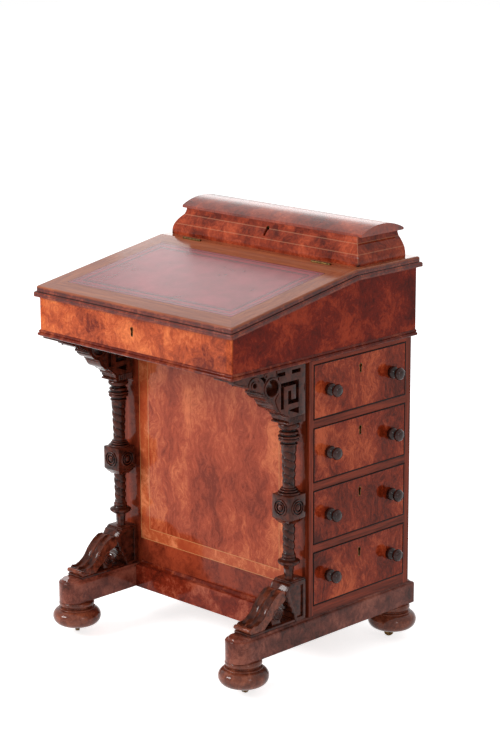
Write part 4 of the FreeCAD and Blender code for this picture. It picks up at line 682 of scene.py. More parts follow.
class DavenportInlay(bpy.types.PropertyGroup):
    """Lines let into the veneer and pressed into the leather."""

    outer_half: size("Outer line", "Half width inside the outer stringing", 212)
    outer_bottom: size("Outer line's foot", "Height of the outer stringing", 174)
    inner_half: size("Inner line", "Half width inside the inner stringing", 186)
    inner_bottom: size("Inner line's foot", "Height of the inner stringing", 198)
    string_width: size("Stringing", "Width of the boxwood lines", 1.1)
    ridge: size("Upper ridge", "Height of the gallery's upper ridge above its foot", 40.7)
    swell: size("Lower ridge", "Height of the gallery's lower ridge above its foot", 22.2)
    # Depths of the dark lines of painted shade in the moulded edge's quirks and step.
    quirk: size("Upper quirk", "Depth of the first dark line in the moulded edge", 6)
    step: size("Step", "Depth of the step in the moulded edge", 11)
    low_quirk: size("Lower quirk", "Depth of the last dark line in the moulded edge", 15.8)
    groove_width: size("Groove", "Width of the dark line round the leather", 2.4)
    tool_outer: size("Outer tooling", "Leather's edge to the first tooled line", 7)
    tool_middle: size("Middle tooling", "Leather's edge to the second tooled line", 21)
    tool_inner: size("Inner tooling", "Leather's edge to the third tooled line", 26)


class DavenportColumn(bpy.types.PropertyGroup):
    """The two columns."""

    shaft: size("Shaft", "Radius of the upper shaft at its head", 15)
    shaft_foot: size("Shaft's foot", "Radius of the upper shaft at its foot", 12.3)
    lower_head: size("Lower shaft's head", "Radius of the lower shaft at its head", 13)
    lower_shaft: size("Lower shaft", "Radius of the lower shaft at its foot", 11.6)
    carving: size("Carving", "Depth of the spiral", 2.6)
    pitch: size("Pitch", "Rise of the spiral in one turn", 32)
    strands: IntProperty(name="Strands", description="Strands of the spiral", default=2, min=1)
    square: size("Block", "Width of the square block", 46)
    roundel: size("Roundel", "Radius of the roundels on the block", 17)


class DavenportKnob(bpy.types.PropertyGroup):
    """The drawer knobs."""

    length: size("Length", "How far a knob stands out", 30)
    base: size("Base", "Radius of the base ring", 12.7)
    ball: size("Ball", "Radius of the grip", 13)
    neck: size("Neck", "Radius between base and grip", 7.4)
    spread: size("Spread", "Distance between the knobs of a drawer", 182)


class DavenportMoulding(bpy.types.PropertyGroup):
    """Mouldings, beads and runners."""

    corner: size("Corner", "Radius of the base moulding's front corners", 5)
    # The bead round a drawer is a dark strip of painted shadow for the gap round the front.
    bead: size("Bead", "Width of the bead round a drawer", 2.6)
    shadow_strip_rise: size("Bead's rise", "How far that bead stands out", 0.7)
    thumb: size("Thumb", "Height of the runner's rounded top edge", 5)


class DavenportStudio(bpy.types.PropertyGroup):
    """Camera and lights."""

    camera: FloatVectorProperty(name="Camera", description="Where the camera stands", size=3,
                                default=(3.0867, -3.0866, 1.6555), unit="LENGTH",
                                subtype="XYZ")
    azimuth: FloatProperty(name="Azimuth", description="Camera's direction about the desk",
                           default=radians(44.48), subtype="ANGLE")
    elevation: FloatProperty(name="Elevation", description="Camera's height above level",
                             default=radians(14.2), subtype="ANGLE")
    roll: FloatProperty(name="Roll", description="Camera's tilt to one side",
                        default=radians(-0.22), subtype="ANGLE")
    lens: FloatProperty(name="Lens", description="Focal length in millimetres", default=107.9)
    left_lamp: FloatProperty(name="Left lamp", description="Power of the lamp on the left",
                             default=60.0, unit="POWER")
    right_lamp: FloatProperty(name="Right lamp", description="Power of the lamp on the right",
                              default=6.0, unit="POWER")
    back_lamp: FloatProperty(name="Back lamp", description="Power of the lamp behind the desk",
                             default=9.0, unit="POWER")
    sky: FloatProperty(name="Room", description="Strength of the light from all round",
                       default=0.55, min=0.0)
    glow: FloatProperty(name="Floor's glow", description="How far the floor is lifted to white",
                        default=0.72, min=0.0)


GROUPS = {
    "davenport_colours": DavenportColours,
    "davenport_inlay": DavenportInlay,
    "davenport_column": DavenportColumn,
    "davenport_knob": DavenportKnob,
    "davenport_moulding": DavenportMoulding,
    "davenport_studio": DavenportStudio,
}


# ---------------------------------------------------------------- pieces


FINISHES = {
    "burr_walnut_frieze": ("desk_front_board",),
    "burr_walnut_side": ("desk_sides", "desk_back_board"),
    "burr_walnut_panel": ("pedestal_front_panel",),
    "burr_walnut_drawer": ("dummy_drawer_fronts", "pedestal_back_panel",
                           *(f"drawer_{k}_front" for k in DRAWERS)),
    "burr_walnut_gallery": ("gallery_front", "gallery_ends", "gallery_back"),
    "burr_walnut_lid": ("gallery_lid",),
    "polished_walnut_shelf": ("top_shelf",),
    "crossbanded_walnut": ("writing_lid_frame",),
    "polished_walnut_frame": ("drawer_side_frame", "dummy_side_frame"),
    "burr_walnut_rail": ("base_cross_rails",),
    "glazed_maroon_skiver": ("writing_lid_leather",),
    "mahogany_lining": ("dust_boards", "desk_bottom_board",
                        *(f"drawer_{k}_box" for k in DRAWERS)),
    "satin_maple": ("gallery_partitions", "pigeonholes", "interior_drawer_left",
                    "interior_drawer_right"),
    "aged_brass": ("castor_sockets", "lid_hinge_fixed_leaves", "gallery_hinge_fixed_leaves",
                   "fixed_escutcheons", "fixed_locks", "writing_lid_hinge_leaves",
                   "gallery_lid_hinge_leaves",
                   *(f"drawer_{k}_lock" for k in DRAWERS),
                   *(f"castor_{kind}_{corner}" for kind in ("fork", "wheel")
                     for corner in CORNERS)),
}


class DAVENPORT_OT_finishes(bpy.types.Operator):
    """Make the finishes and give them to the boards of the frame"""

    bl_idname = "davenport.finishes"
    bl_label = "Finishes"

    def execute(self, context):
        scene = context.scene
        colours = scene.davenport_colours
        inlay = lengths(scene.davenport_inlay)
        c = SimpleNamespace(**{key: (*getattr(colours, key), 1)
                               for key in colours.__annotations__})
        make_burr(c, "burr_walnut_frieze", "frieze", figure=60, contrast=0.11, film=1.22,
                  within=case_inside())
        make_side(c)
        low, high = box("drawer_1_front")
        # The drawer fronts' colours are darkened in part as painted shade.
        make_burr(c, "burr_walnut_drawer", "drawer", figure=110, contrast=0.09, film=1.2,
                  flame=0.6, within=(low.x, low.y, high.y))
        make_burr(c, "burr_walnut_rail", "rail", figure=60, contrast=0.11, film=1.2)
        make_burr(c, "burr_walnut_runner", "runner", figure=50, contrast=0.11, film=1.25)
        make_burr(c, "burr_walnut_moulding", "mould", figure=30, contrast=0.14, film=1.22)
        make_burr(c, "burr_walnut_lid", "gallery", figure=60, contrast=0.12, film=1.5, gloss=0.22)
        make_burr(c, "turned_walnut", "foot", figure=30, contrast=0.14, film=1.35)
        make_gallery(c, inlay)
        make_panel(c, inlay)
        make_banding(c, inlay, "crossbanded_walnut", "writing_lid_frame", banded=True)
        make_banding(c, inlay, "polished_walnut_shelf", "top_shelf", banded=False)
        # Dark bead round the drawers: painted shadow for the gap round each front.
        make_straight("stained_bead", c.carved_dark, c.shadow_strip_light, "Y", film=1.15, roughness=0.5)
        make_frame(c)
        make_straight("mahogany_lining", c.mahogany_dark, c.mahogany, "X", spacing=2.0, coat=0.0,
                      roughness=0.6)
        make_straight("satin_maple", c.maple_dark, c.maple, "X", spacing=4.0, coat=0.5,
                      roughness=0.4)
        make_carved("carved_walnut", c.carved_dark, c.carved)
        make_carved("stained_walnut_knob", c.carved_dark, c.knob, gloss=0.05, film=1.34)
        make_carved("carved_walnut_leg", c.leg_dark, c.leg, gloss=0.12)
        make_leather(c, inlay)
        make_brass(c)
        for name, nodes in FINISHES.items():
            for node in nodes:
                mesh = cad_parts[node].data
                mesh.materials.clear()
                mesh.materials.append(bpy.data.materials[name])
        return {"FINISHED"}


def shaft(foot_radius, head_radius, low, high, column):
    """A tapering shaft between two heights, carved with a spiral of rounded strands."""
    row_height, roundness = 1.2, 0.5
    rows = int((high - low) / row_height)
    depth = column.carving
    run_out = 2 * depth
    profile = [(0, low)]
    for row in range(rows + 1):
        share = row / rows
        profile.append((foot_radius + (head_radius - foot_radius) * share,
                        low + (high - low) * share))
    bm = lathe(profile + [(0, high)], steps=72)
    for vert in bm.verts:
        radius = vert.co.xy.length
        if radius < depth:
            continue
        turn = column.strands * (atan2(vert.co.y, vert.co.x) + 2 * pi * vert.co.z / column.pitch)
        ends = min(1.0, (vert.co.z - low) / run_out, (high - vert.co.z) / run_out)
        cut = depth * ends * (1 - abs(cos(turn / 2)) ** roundness)
        vert.co.xy *= (radius - cut) / radius
    return bm


def roundel(radius):
    """A turned boss, about Z, with two proud rings and a domed button."""
    profile = drawn([
        (radius, -1), (radius, 1), (radius - 0.4, 2.2), (radius - 3, 2.2, 1.4),
        (radius - 3.6, 0.2), (radius - 5.2, 0.2), (radius - 5.6, 2.2), (radius - 8, 2.2, 1.3),
        (radius - 8.6, 0.2), (6.4, 0.2), (6, 1.8), (0, 4.4, 7.6)], steps=5)
    return lathe(profile, steps=40)


class DAVENPORT_OT_columns(bpy.types.Operator):
    """Turn and carve the two columns"""

    bl_idname = "davenport.columns"
    bl_label = "Columns"

    def execute(self, context):
        column = lengths(context.scene.davenport_column)
        low, high = box("columns")
        half = column.square / 2
        foot, top = low.z, high.z
        block_low, block_high = foot + 123, top - 143.3
        disc_z = foot + 27
        shapes = [
            self.capital(top), self.collar(block_high, column),
            self.square_block(half, block_low, block_high, column),
            self.base(foot, disc_z),
            shaft(column.shaft_foot, column.shaft, block_high + 15, top - 53, column),
            shaft(column.lower_shaft, column.lower_head, disc_z + 21, block_low - 10, column)]
        single = joined(*shapes)
        twin = single.copy()
        centre = (low + high) / 2
        for shape, x in ((single, high.x - half), (twin, half - high.x)):
            moved(shape, x, centre.y)
        place("columns_carved", joined(single, twin), "root", "carved_walnut",
              ("columns",))
        return {"FINISHED"}

    def capital(self, top):
        """Rings and hollows under the fret bracket."""
        return lathe(drawn([
            (0, top), (17.5, top), (18, top - 2), (18, top - 13, -6.5), (14.5, top - 15),
            (14, top - 17.5), (17.5, top - 18.5), (17.5, top - 23.5, -2.8), (16, top - 24.5),
            (16, top - 26), (20.5, top - 27), (20.5, top - 30.5, -2.2), (18.6, top - 31.5),
            (19, top - 37.5, -3.4), (16, top - 39), (15.2, top - 41), (16.6, top - 42.5),
            (16.6, top - 45.5, -1.8), (15, top - 47), (15, top - 54), (0, top - 54)], steps=6))

    def collar(self, seat, column):
        """Three rings that step in from the block to the upper shaft."""
        return lathe(drawn([
            (0, seat), (21, seat), (21, seat + 4, 2.3), (17.4, seat + 5),
            (17.4, seat + 8.4, 2.0), (14.8, seat + 9.4), (14.8, seat + 12.4, 1.8),
            (column.shaft_foot, seat + 13.4), (column.shaft_foot, seat + 16),
            (0, seat + 16)], steps=5))

    def square_block(self, half, low, high, column):
        """The square block with a roundel on each face, and the steps below it."""
        cube = eased(block((-half, -half, low), (half, half, high)), 1.6)
        bosses = []
        for angle in (0, 90, 180, 270):
            boss = moved(roundel(column.roundel), z=half)
            boss = turned(turned(boss, 90, "X"), angle, "Z")
            bosses.append(moved(boss, z=(low + high) / 2))
        rings = []
        for width, height in ((half, low + 1), (half - 2.5, low - 1.5), (half - 3.5, low - 3.5),
                              (14.5, low - 9.5), (column.lower_head, low - 11)):
            rings.append([(width, width, height), (-width, width, height),
                          (-width, -width, height), (width, -width, height)])
        return joined(cube, *bosses, eased(loft(rings), 0.8, segments=1))

    def base(self, foot, disc_z):
        """The neck that stands on the scroll bracket, and the disc above it."""
        disc = lathe(drawn([
            (0, disc_z), (14, disc_z), (17, disc_z + 1.5, 3), (17.5, disc_z + 3),
            (20.6, disc_z + 4), (20.6, disc_z + 10, 3.4), (17, disc_z + 11.5),
            (14, disc_z + 15, -6), (12.6, disc_z + 16), (13.4, disc_z + 19, 2),
            (12, disc_z + 22, 2), (0, disc_z + 22)], steps=6))
        neck = lathe([(0, foot), (9.2, foot), (9.2, foot + 2), (8.6, foot + 3),
                      (10.6, disc_z - 3), (12, disc_z), (0, disc_z)], steps=8)
        return joined(disc, neck)


def channel(path, width):
    """Outline of a channel of one width along a path of right-angled runs."""
    half = width / 2
    points = [Vector(point) for point in path]
    ways = [(b - a).normalized() for a, b in zip(points, points[1:])]
    left, right = [], []
    for index, point in enumerate(points):
        before = ways[max(index - 1, 0)]
        after = ways[min(index, len(ways) - 1)]
        normal = Vector((-before.y, before.x))
        if before != after:
            normal += Vector((-after.y, after.x))
        reach = Vector((0, 0))
        if index == 0:
            reach = -after * half
        if index == len(points) - 1:
            reach = before * half
        left.append(tuple(point + reach + normal * half))
        right.append(tuple(point + reach - normal * half))
    return left + right[::-1]


def circle(centre, radius, steps=32):
    """Points of a circle in a plane."""
    return [(centre[0] + radius * cos(2 * pi * k / steps),
             centre[1] + radius * sin(2 * pi * k / steps)) for k in range(steps)]


def reed(y, z, radius, start, end):
    """A round reed across the desk, its ends rounded."""
    ease = radius * 0.4
    profile = drawn([(0, 0), (radius - ease, 0), (radius, ease, ease),
                     (radius, end - start - ease), (radius - ease, end - start, ease),
                     (0, end - start)], steps=3)
    return moved(turned(lathe(profile, steps=20), 90, "Y"), start, y, z)


class DAVENPORT_OT_fret_brackets(bpy.types.Operator):
    """Saw and carve the pierced brackets under the case"""

    bl_idname = "davenport.fret_brackets"
    bl_label = "Fret brackets"

    def execute(self, context):
        _, high = box("fret_brackets")
        back, top = high.y, high.z
        width = context.scene.davenport_column.square / MM
        inner = high.x - width

        def at(run, drop, *bend):
            return (back - run, top - drop, *bend)

        outline = drawn([
            at(201, 0), at(201, 5), at(190, 8.4), at(163, 17.8), at(160.5, 22.4),
            at(157, 22.8), at(137, 32.6, 42), at(118.5, 41.4, -60), at(117.8, 46.2),
            at(112.5, 48), at(112.5, 52), at(94, 61.8, 26), at(94, 65), at(91, 66),
            at(91, 69), at(76.6, 84, 24), at(54, 98, -52), at(50, 99.5), at(48.4, 108),
            at(45, 113, -7), at(45, 116.5), at(0, 116.5), at(0, 0)], steps=7)
        key = channel([at(65, 77.5), at(65, 34.5), at(24, 34.5), at(24, 70.5), at(45, 70.5),
                       at(45, 52.5)], 8.2)
        ring = at(91.8, 35)
        eye = at(138.5, 22)
        wedge = [at(48.5, 86.5), at(20, 84), at(20, 97)]
        slots = [[at(front, 9), at(rear, 9), at(rear, 16.5), at(front, 16.5)]
                 for front, rear in ((78, 57), (39, 15))]
        leaf = drawn([at(124, 9.5), at(106, 9.5), at(112, 23.5, -22), at(124, 9.5, 30)], steps=5)
        windows = [key, circle(ring, 16), circle(eye, 4.6, steps=20), wedge, *slots, leaf]
        sunk = 1.6
        board = eased(plate(outline, width - 2 * sunk, windows), 0.7, angle=40)
        shapes = [moved(board, inner + sunk)]
        raised = drawn([
            at(3, 3), at(80, 3), at(74, 18, 30), at(71.5, 35, 40), at(75, 50, 40),
            at(83, 62, 30), at(77, 77), at(54, 95, 40), at(49, 98), at(47, 101), at(3, 101)],
            steps=5)
        for start in (inner, high.x - 2 * sunk):
            overlay = plate(raised, 2 * sunk, [key, wedge, *slots])
            shapes.append(moved(eased(overlay, 0.8, angle=40), start))
        for run, drop, radius in ((199, 3.2, 2.8), (189.5, 7.2, 2.2), (160.8, 19.6, 2.6),
                                  (117, 44, 2.6), (113, 49.6, 1.8), (93.4, 63.4, 2.0),
                                  (90.6, 68, 1.6), (51, 99.8, 2.2), (46.6, 114.2, 2.2)):
            y, z = at(run, drop)
            shapes.append(reed(y, z, radius, inner, high.x))
        for centre, radius, thickness, start, turn in (
                (ring, 18.6, 2.4, 0, 360), (eye, 14.5, 2.0, 200, -180), (eye, 6.8, 2.0, 0, 360),
                (at(108, 8.5), 4.2, 1.5, 0, 360)):
            for x in (inner + sunk, high.x - sunk):
                bead = hoop(radius, thickness, start, turn)
                shapes.append(moved(bead, x, centre[0], centre[1]))
        flutes, spacing = 7, 5.4
        for flute in range(flutes):
            y, _ = at(6 + spacing * flute, 0)
            for x in (inner + sunk + 0.4, high.x - sunk - 0.4):
                fluting = lathe([(0, 0), (1.7, 0.8), (1.9, 12.5), (0, 13.6)], steps=12)
                shapes.append(moved(fluting, x, y, top - 116))
        place("fret_brackets_carved", both_sides(joined(*shapes)), "root",
              "carved_walnut", ("fret_brackets",))
        return {"FINISHED"}


def reeded_leg(path, under, inner, outer, depth):
    """A curved leg between two edges, its upper face worked into round reeds."""
    reeds, roundness = 2, 0.48
    slices, fade = 40, 3
    normals = []
    for index in range(len(path)):
        before = Vector(path[max(index - 1, 0)])
        after = Vector(path[min(index + 1, len(path) - 1)])
        way = (after - before).normalized()
        normals.append(Vector((way.y, -way.x)))
    rings = []
    for k in range(slices + 1):
        share = k / slices
        x = inner + (outer - inner) * share
        sunk = depth * (1 - abs(sin(reeds * pi * share)) ** roundness)
        ring = []
        for index, (point, normal) in enumerate(zip(path, normals)):
            ends = min(1.0, index / fade, (len(path) - 1 - index) / fade)
            ring.append((x, *(Vector(point) + normal * sunk * ends)))
        rings.append(ring + [(x, y, z) for y, z in under])
    return loft(rings)


class DAVENPORT_OT_scroll_brackets(bpy.types.Operator):
    """Carve the posts and scrolled legs on the runners"""

    bl_idname = "davenport.scroll_brackets"
    bl_label = "Scroll brackets"

    def execute(self, context):
        low, high = box("scroll_brackets")
        self.back, self.foot, self.top = high.y, low.z, high.z
        width = context.scene.davenport_column.square / MM
        inner, outer = high.x - width, high.x
        posts = both_sides(joined(*self.post(inner, outer), *self.volute(inner, outer)))
        place("scroll_posts_carved", posts, "root", "carved_walnut",
              ("scroll_brackets",))
        legs = both_sides(joined(*self.leg(inner, outer)))
        place("scroll_legs_carved", legs, "root", "carved_walnut_leg",
              ("scroll_brackets",))
        return {"FINISHED"}

    def at(self, run, rise, *bend):
        """A point this far in front of the bracket's back and above its foot."""
        return (self.back - run, self.foot + rise, *bend)

    def post(self, inner, outer):
        """The scrolled post with sunk sides, its two caps and the strip it stands on."""
        at, back, foot = self.at, self.back, self.foot
        width = outer - inner
        outline = drawn([
            at(0, 0), at(0, 80.5), at(40, 80.5), at(46.5, 77.5), at(54.5, 65), at(55.5, 60),
            at(51, 56.5), at(49.5, 47), at(45.5, 44), at(44, 36, 14), at(39, 31), at(38.5, 24),
            at(32, 18.5, 12), at(31, 8), at(28, 5), at(28, 0)], steps=4)
        field = drawn([
            at(7, 8), at(7, 73), at(39, 73), at(44, 66), at(42, 52), at(38, 46), at(36, 36),
            at(31, 30), at(30, 23), at(25, 18), at(24, 8)], steps=4)
        rim = 3.4
        sides = [eased(moved(plate(outline, rim, [field]), x), 0.7)
                 for x in (inner, outer - rim)]
        return [
            eased(moved(plate(outline, width - 6), inner + 3), 0.8), *sides,
            eased(block((inner, back - 41.5, foot + 79), (outer, back, foot + 82)), 0.7),
            eased(block((inner + 1.4, back - 39.6, foot + 82), (outer - 1.4, back, self.top)),
                  0.7),
            eased(block((inner + 1, back - 152, foot), (outer - 1, back, foot + 5.5)), 0.8)]

    def volute(self, inner, outer):
        """The rolled scroll under the leg, with rings on both ends, and the prop before it."""
        y, z = self.at(76, 27)
        shapes = [reed(y, z, 9.5, inner + 3, outer - 3)]
        for radius, thickness in ((11.5, 1.7), (7.2, 1.5), (3.0, 1.5)):
            for x in (inner + 3, outer - 3):
                shapes.append(moved(hoop(radius, thickness), x, y, z))
        at = self.at
        prop = drawn([at(64, 5), at(66, 18, -20), at(84, 34, -30), at(92, 22), at(88, 5)], steps=5)
        shapes.append(eased(moved(plate(prop, outer - inner - 10), inner + 5), 0.7))
        return shapes

    def leg(self, inner, outer):
        """The curved leg with two reeds, and the toe with its roll."""
        at = self.at
        upper = drawn([
            at(52, 66), at(57, 68.4), at(98, 37, 79), at(126, 14.5, -52), at(136, 13, -14),
            at(147, 16.4, -20)], steps=12)
        under = drawn([
            at(151, 12), at(146, 8), at(124, 5.5), at(112, 6), at(95, 20, -60),
            at(72, 44, 60), at(54, 52, 30)], steps=6)
        toe = [at(150, 5.5), at(152, 9), at(146, 13), at(128, 8), at(128, 5.5)]
        y, z = at(150.5, 12.6)
        return [
            eased(reeded_leg(upper, under, inner + 2, outer - 2, 7), 0.3, segments=1, angle=60),
            eased(moved(plate(toe, outer - inner - 3), inner + 1.5), 0.8),
            reed(y, z, 4.8, inner + 1, outer - 1)]


def knob_shape(knob):
    """A turned knob along +X from its seat."""
    end = knob.length
    profile = drawn([
        (0, -2), (knob.base - 1.7, -2), (knob.base - 1.7, 0.2), (knob.base, 6.5, 9),
        (knob.neck + 0.8, 12.6, 9), (knob.neck, 13.6), (knob.neck + 1, 14.8),
        (knob.ball, 21.8, 10), (knob.ball - 4.4, end - 1.6, 10), (knob.ball - 5.4, end - 1.8),
        (knob.ball - 6.2, end - 1.2), (0, end, 26)], steps=6)
    return turned(lathe(profile, steps=40), 90, "Y")


class DAVENPORT_OT_knobs(bpy.types.Operator):
    """Turn the knobs of the drawers and of the dummy fronts"""

    bl_idname = "davenport.knobs"
    bl_label = "Knobs"

    def execute(self, context):
        knob = lengths(context.scene.davenport_knob)
        twins = []
        for k in DRAWERS:
            low, high = box(f"drawer_{k}_knobs")
            seat = high.x - knob.length
            middle = (low + high) / 2
            pair = joined(*(
                moved(knob_shape(knob), seat, middle.y + way * knob.spread / 2, middle.z)
                for way in (-1, 1)))
            twins.append(pair.copy())
            place(f"drawer_{k}_knobs_turned", pair, f"drawer_{k}",
                  "stained_walnut_knob", (f"drawer_{k}_knobs",))
        mirror = joined(*twins)
        bmesh.ops.scale(mirror, vec=(-1, 1, 1), verts=mirror.verts)
        place("dummy_knobs_turned", mirror, "root", "stained_walnut_knob",
              ("dummy_drawer_knobs",))
        return {"FINISHED"}


def plan(half, front, rear, corner, height, steps=8):
    """Plan of the case, its front corners rounded, at one height."""
    line = drawn([(-half, rear), (-half, front + corner), (-half + corner, front, corner),
                  (half - corner, front), (half, front + corner, corner), (half, rear)], steps)
    return [(x, y, height) for x, y in line]


class DAVENPORT_OT_mouldings(bpy.types.Operator):
    """Run the base moulding, the beads round the drawers and the strip at the panel's foot"""

    bl_idname = "davenport.mouldings"
    bl_label = "Mouldings"

    def execute(self, context):
        sizes = lengths(context.scene.davenport_moulding)
        low, high = box("desk_base_moulding")
        case_low, case_high = box("desk_sides")
        half, front, rear = case_high.x, case_low.y, high.y
        reach = high.x - half
        profile = drawn([
            (-2, low.z), (reach - 2.4, low.z), (reach - 0.4, low.z + 5.6, 3.2),
            (reach - 2.6, low.z + 6.6), (reach - 3.4, low.z + 7.2), (reach - 2.6, low.z + 7.6),
            (reach - 2.6, low.z + 10.4, 1.6), (0.5, high.z), (-2, high.z)], steps=5)
        members = [plan(half + grow, front - grow, rear,
                        max(0.3, sizes.corner + grow - reach), height)
                   for grow, height in profile]
        place("desk_base_moulding_run", loft(list(zip(*members))), "root",
              "burr_walnut_moulding", ("desk_base_moulding",))
        self.shadow_gap_strips(sizes)
        seat = box("base_cross_rails")[1].z
        face = box("pedestal_front_panel")[0].y
        strip = drawn([(face, seat), (face - 6, seat), (face - 5.4, seat + 1.6),
                       (face, seat + 6, -6)], steps=6)
        length = 2 * (box("base_runners")[1].x - RUNNER_WIDTH)
        bead = moved(plate(strip, length), -length / 2)
        place("panel_foot_strip", bead, "root", "burr_walnut_moulding")
        return {"FINISHED"}

    def shadow_gap_strips(self, sizes):
        """A thin bead round each drawer front and each dummy front."""
        let_in = 1
        twins = []
        for k in DRAWERS:
            low, high = box(f"drawer_{k}_front")
            frame_line = [(low.y, low.z), (high.y, low.z), (high.y, high.z), (low.y, high.z)]
            w = sizes.bead
            window = [(low.y + w, low.z + w), (high.y - w, low.z + w),
                      (high.y - w, high.z - w), (low.y + w, high.z - w)]
            bead = eased(plate(frame_line, let_in + sizes.shadow_strip_rise, [window]), 0.5)
            moved(bead, high.x - let_in)
            twins.append(bead.copy())
            place(f"drawer_{k}_beading", bead, f"drawer_{k}", "stained_bead")
        mirror = joined(*twins)
        bmesh.ops.scale(mirror, vec=(-1, 1, 1), verts=mirror.verts)
        place("dummy_beading", mirror, "root", "stained_bead")


class DAVENPORT_OT_base(bpy.types.Operator):
    """Shape the runners and turn the bun feet"""

    bl_idname = "davenport.base"
    bl_label = "Base"

    def execute(self, context):
        sizes = lengths(context.scene.davenport_moulding)
        low, high = box("base_runners")
        centre = high.x - RUNNER_WIDTH / 2
        rings = []
        for inset, height in drawn([
                (1.2, low.z), (0, low.z + 1.2, -1.2), (0, high.z - sizes.thumb - 1.4),
                (1.6, high.z - sizes.thumb), (1.9, high.z - sizes.thumb + 0.6),
                (7.4, high.z, 7)], steps=5):
            rings.append(self.runner_plan(centre, RUNNER_WIDTH / 2, low.y, high.y, inset,
                                          height))
        place("base_runners_moulded", both_sides(loft(rings)), "root",
              "burr_walnut_runner", ("base_runners",))
        foot_low, foot_high = box("bun_feet")
        x = foot_high.x - FOOT_RADIUS
        feet = []
        for y in (foot_low.y + FOOT_RADIUS, foot_high.y - FOOT_RADIUS):
            feet.append(moved(self.foot(foot_low.z, foot_high.z), x, y))
        place("bun_feet_turned", both_sides(joined(*feet)), "root",
              "turned_walnut", ("bun_feet",))
        return {"FINISHED"}

    def runner_plan(self, centre, half, nose, heel, inset, height):
        """Plan of a runner with a half-round nose."""
        r = half - inset
        y = nose + half
        corner = 6
        rear = heel - inset
        line = drawn([(centre - r, y), (centre, y - r, r), (centre + r, y, r),
                      (centre + r, rear - corner), (centre + r - corner, rear, corner),
                      (centre - r + corner, rear), (centre - r, rear - corner, corner),
                      (centre - r, rear - corner - 1)], steps=16)
        return [(px, py, height) for px, py in line]

    def foot(self, sole, top):
        """A bun foot with a collar, a fillet and a hollow for the castor."""
        profile = drawn([
            (0, top), (33.5, top), (36.5, top - 5.6, -5.6), (33.5, top - 11, -5.6),
            (31.6, top - 12), (31.6, top - 13.6), (37, top - 14.4), (37.6, top - 16.2, -1.2),
            (37, top - 17.6), (FOOT_RADIUS, sole + 19, -15.6), (36, sole + 1.2, -18.4), (33, sole),
            (23, sole), (22, sole + 1), (22, sole + 12.3), (0, sole + 12.3)], steps=9)
        return lathe(profile, steps=80)


def seen_rays(tree):
    """1 for the rays that see the backdrop: straight on, mirrored or through glass."""
    rays = add(tree, "LightPath").outputs
    seen = add(tree, "Math", {0: rays["Is Camera Ray"], 1: rays["Is Glossy Ray"]},
               operation="MAXIMUM").outputs[0]
    return add(tree, "Math", {0: seen, 1: rays["Is Transmission Ray"]},
               operation="MAXIMUM").outputs[0]


def lamp(name, power, spot, aim, width, height):
    """A soft rectangular lamp that faces a point."""
    data = bpy.data.lights.new(name, "AREA")
    data.shape = "RECTANGLE"
    data.size, data.size_y = width, height
    data.energy = power
    item = bpy.data.objects.new(name, data)
    item.location = spot
    item.rotation_euler = (Vector(aim) - Vector(spot)).to_track_quat("-Z", "Y").to_euler()
    bpy.context.scene.collection.objects.link(item)


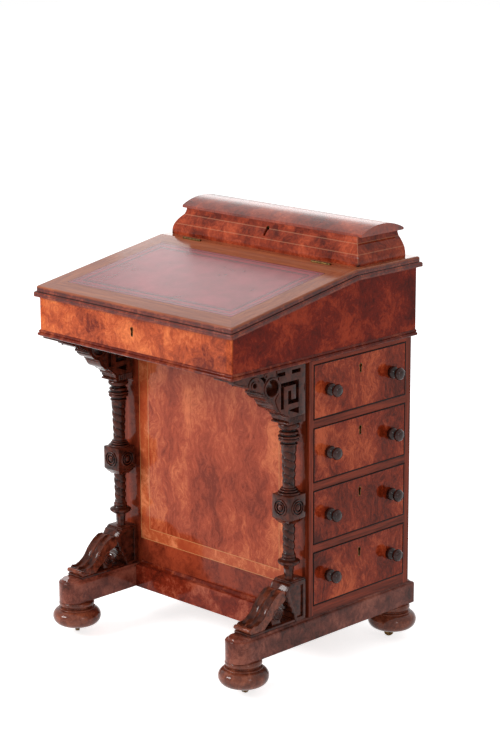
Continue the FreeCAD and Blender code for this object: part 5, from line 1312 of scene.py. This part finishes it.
class DAVENPORT_OT_stage(bpy.types.Operator):
    """Set the floor, the lights and the camera"""

    bl_idname = "davenport.stage"
    bl_label = "Stage"

    def execute(self, context):
        studio = context.scene.davenport_studio
        floor = bmesh.new()
        bmesh.ops.create_grid(floor, x_segments=1, y_segments=1, size=12)
        mesh = bpy.data.meshes.new("floor")
        floor.to_mesh(mesh)
        floor.free()
        tree, shader, _ = new_material("white_paper")
        shader.inputs["Base Color"].default_value = (*linear("#fbfbfb"), 1)
        shader.inputs["Roughness"].default_value = 0.9
        shader.inputs["Specular IOR Level"].default_value = 0.0
        shader.inputs["Emission Color"].default_value = (1, 1, 1, 1)
        glow = add(tree, "Math", {0: seen_rays(tree), 1: studio.glow}, operation="MULTIPLY")
        tree.links.new(glow.outputs[0], shader.inputs["Emission Strength"])
        mesh.materials.append(bpy.data.materials["white_paper"])
        item = bpy.data.objects.new("floor", mesh)
        context.scene.collection.objects.link(item)
        context.scene.view_settings.view_transform = "Standard"
        self.light(context, studio)
        self.camera(context, studio)
        return {"FINISHED"}

    def light(self, context, studio):
        """Even light from all round, and three soft lamps."""
        world = bpy.data.worlds.new("studio")
        context.scene.world = world
        world.use_nodes = True
        tree = world.node_tree
        strength = add(tree, "MapRange", {"Value": seen_rays(tree), "To Min": studio.sky,
                                          "To Max": 1.0}).outputs[0]
        backdrop = tree.nodes["Background"]
        backdrop.inputs["Color"].default_value = (1, 1, 1, 1)
        tree.links.new(strength, backdrop.inputs["Strength"])
        lamp("left_softbox", studio.left_lamp, (-1.4, -2.6, 1.9), (0, 0, 0.45), 1.2, 0.9)
        lamp("right_softbox", studio.right_lamp, (2.9, -0.9, 1.7), (0, 0, 0.45), 0.5, 0.8)
        lamp("back_softbox", studio.back_lamp, (-2.4, 2.6, 1.72), (0, 0.17, 0.87), 1.6, 1.0)

    def camera(self, context, studio):
        """A long lens at a level stand."""
        data = bpy.data.cameras.new("camera")
        data.sensor_fit = "VERTICAL"
        data.sensor_height = 36
        data.lens = studio.lens
        data.clip_end = 50
        item = bpy.data.objects.new("camera", data)
        az, el = studio.azimuth, studio.elevation
        back = Vector((sin(az) * cos(el), -cos(az) * cos(el), sin(el)))
        right = Vector((0, 0, 1)).cross(back).normalized()
        up = back.cross(right)
        turn = Matrix((right, up, back)).transposed() @ Matrix.Rotation(studio.roll, 3, "Z")
        item.matrix_world = Matrix.Translation(studio.camera) @ turn.to_4x4()
        context.scene.collection.objects.link(item)
        context.scene.camera = item


# ---------------------------------------------------------------- add-on


OPERATORS = (
    DAVENPORT_OT_finishes,
    DAVENPORT_OT_columns,
    DAVENPORT_OT_fret_brackets,
    DAVENPORT_OT_scroll_brackets,
    DAVENPORT_OT_knobs,
    DAVENPORT_OT_mouldings,
    DAVENPORT_OT_base,
    DAVENPORT_OT_stage,
)


class DAVENPORT_PT_pieces(bpy.types.Panel):
    """Pieces of the desk and their sizes"""

    bl_idname = "DAVENPORT_PT_pieces"
    bl_label = "Davenport desk"
    bl_space_type = "VIEW_3D"
    bl_region_type = "UI"
    bl_category = "Davenport"

    def draw(self, context):
        for operator in OPERATORS:
            self.layout.operator(operator.bl_idname)
        for name, group in GROUPS.items():
            column = self.layout.column(heading=group.__doc__)
            for key in group.__annotations__:
                column.prop(getattr(context.scene, name), key)


def register():
    """Make the sizes, operators and panel known to Blender."""
    for name, group in GROUPS.items():
        bpy.utils.register_class(group)
        setattr(bpy.types.Scene, name, PointerProperty(type=group))
    for cls in (*OPERATORS, DAVENPORT_PT_pieces):
        bpy.utils.register_class(cls)


def unregister():
    """Take them out again."""
    for cls in (DAVENPORT_PT_pieces, *reversed(OPERATORS)):
        bpy.utils.unregister_class(cls)
    for name, group in GROUPS.items():
        delattr(bpy.types.Scene, name)
        bpy.utils.unregister_class(group)


def main():
    """Make every piece in order, and write the boxes of the frame and of the dressed desk."""
    register()
    for operator in OPERATORS:
        group, name = operator.bl_idname.split(".")
        getattr(getattr(bpy.ops, group), name)()


if __name__ == "__main__":
    main()
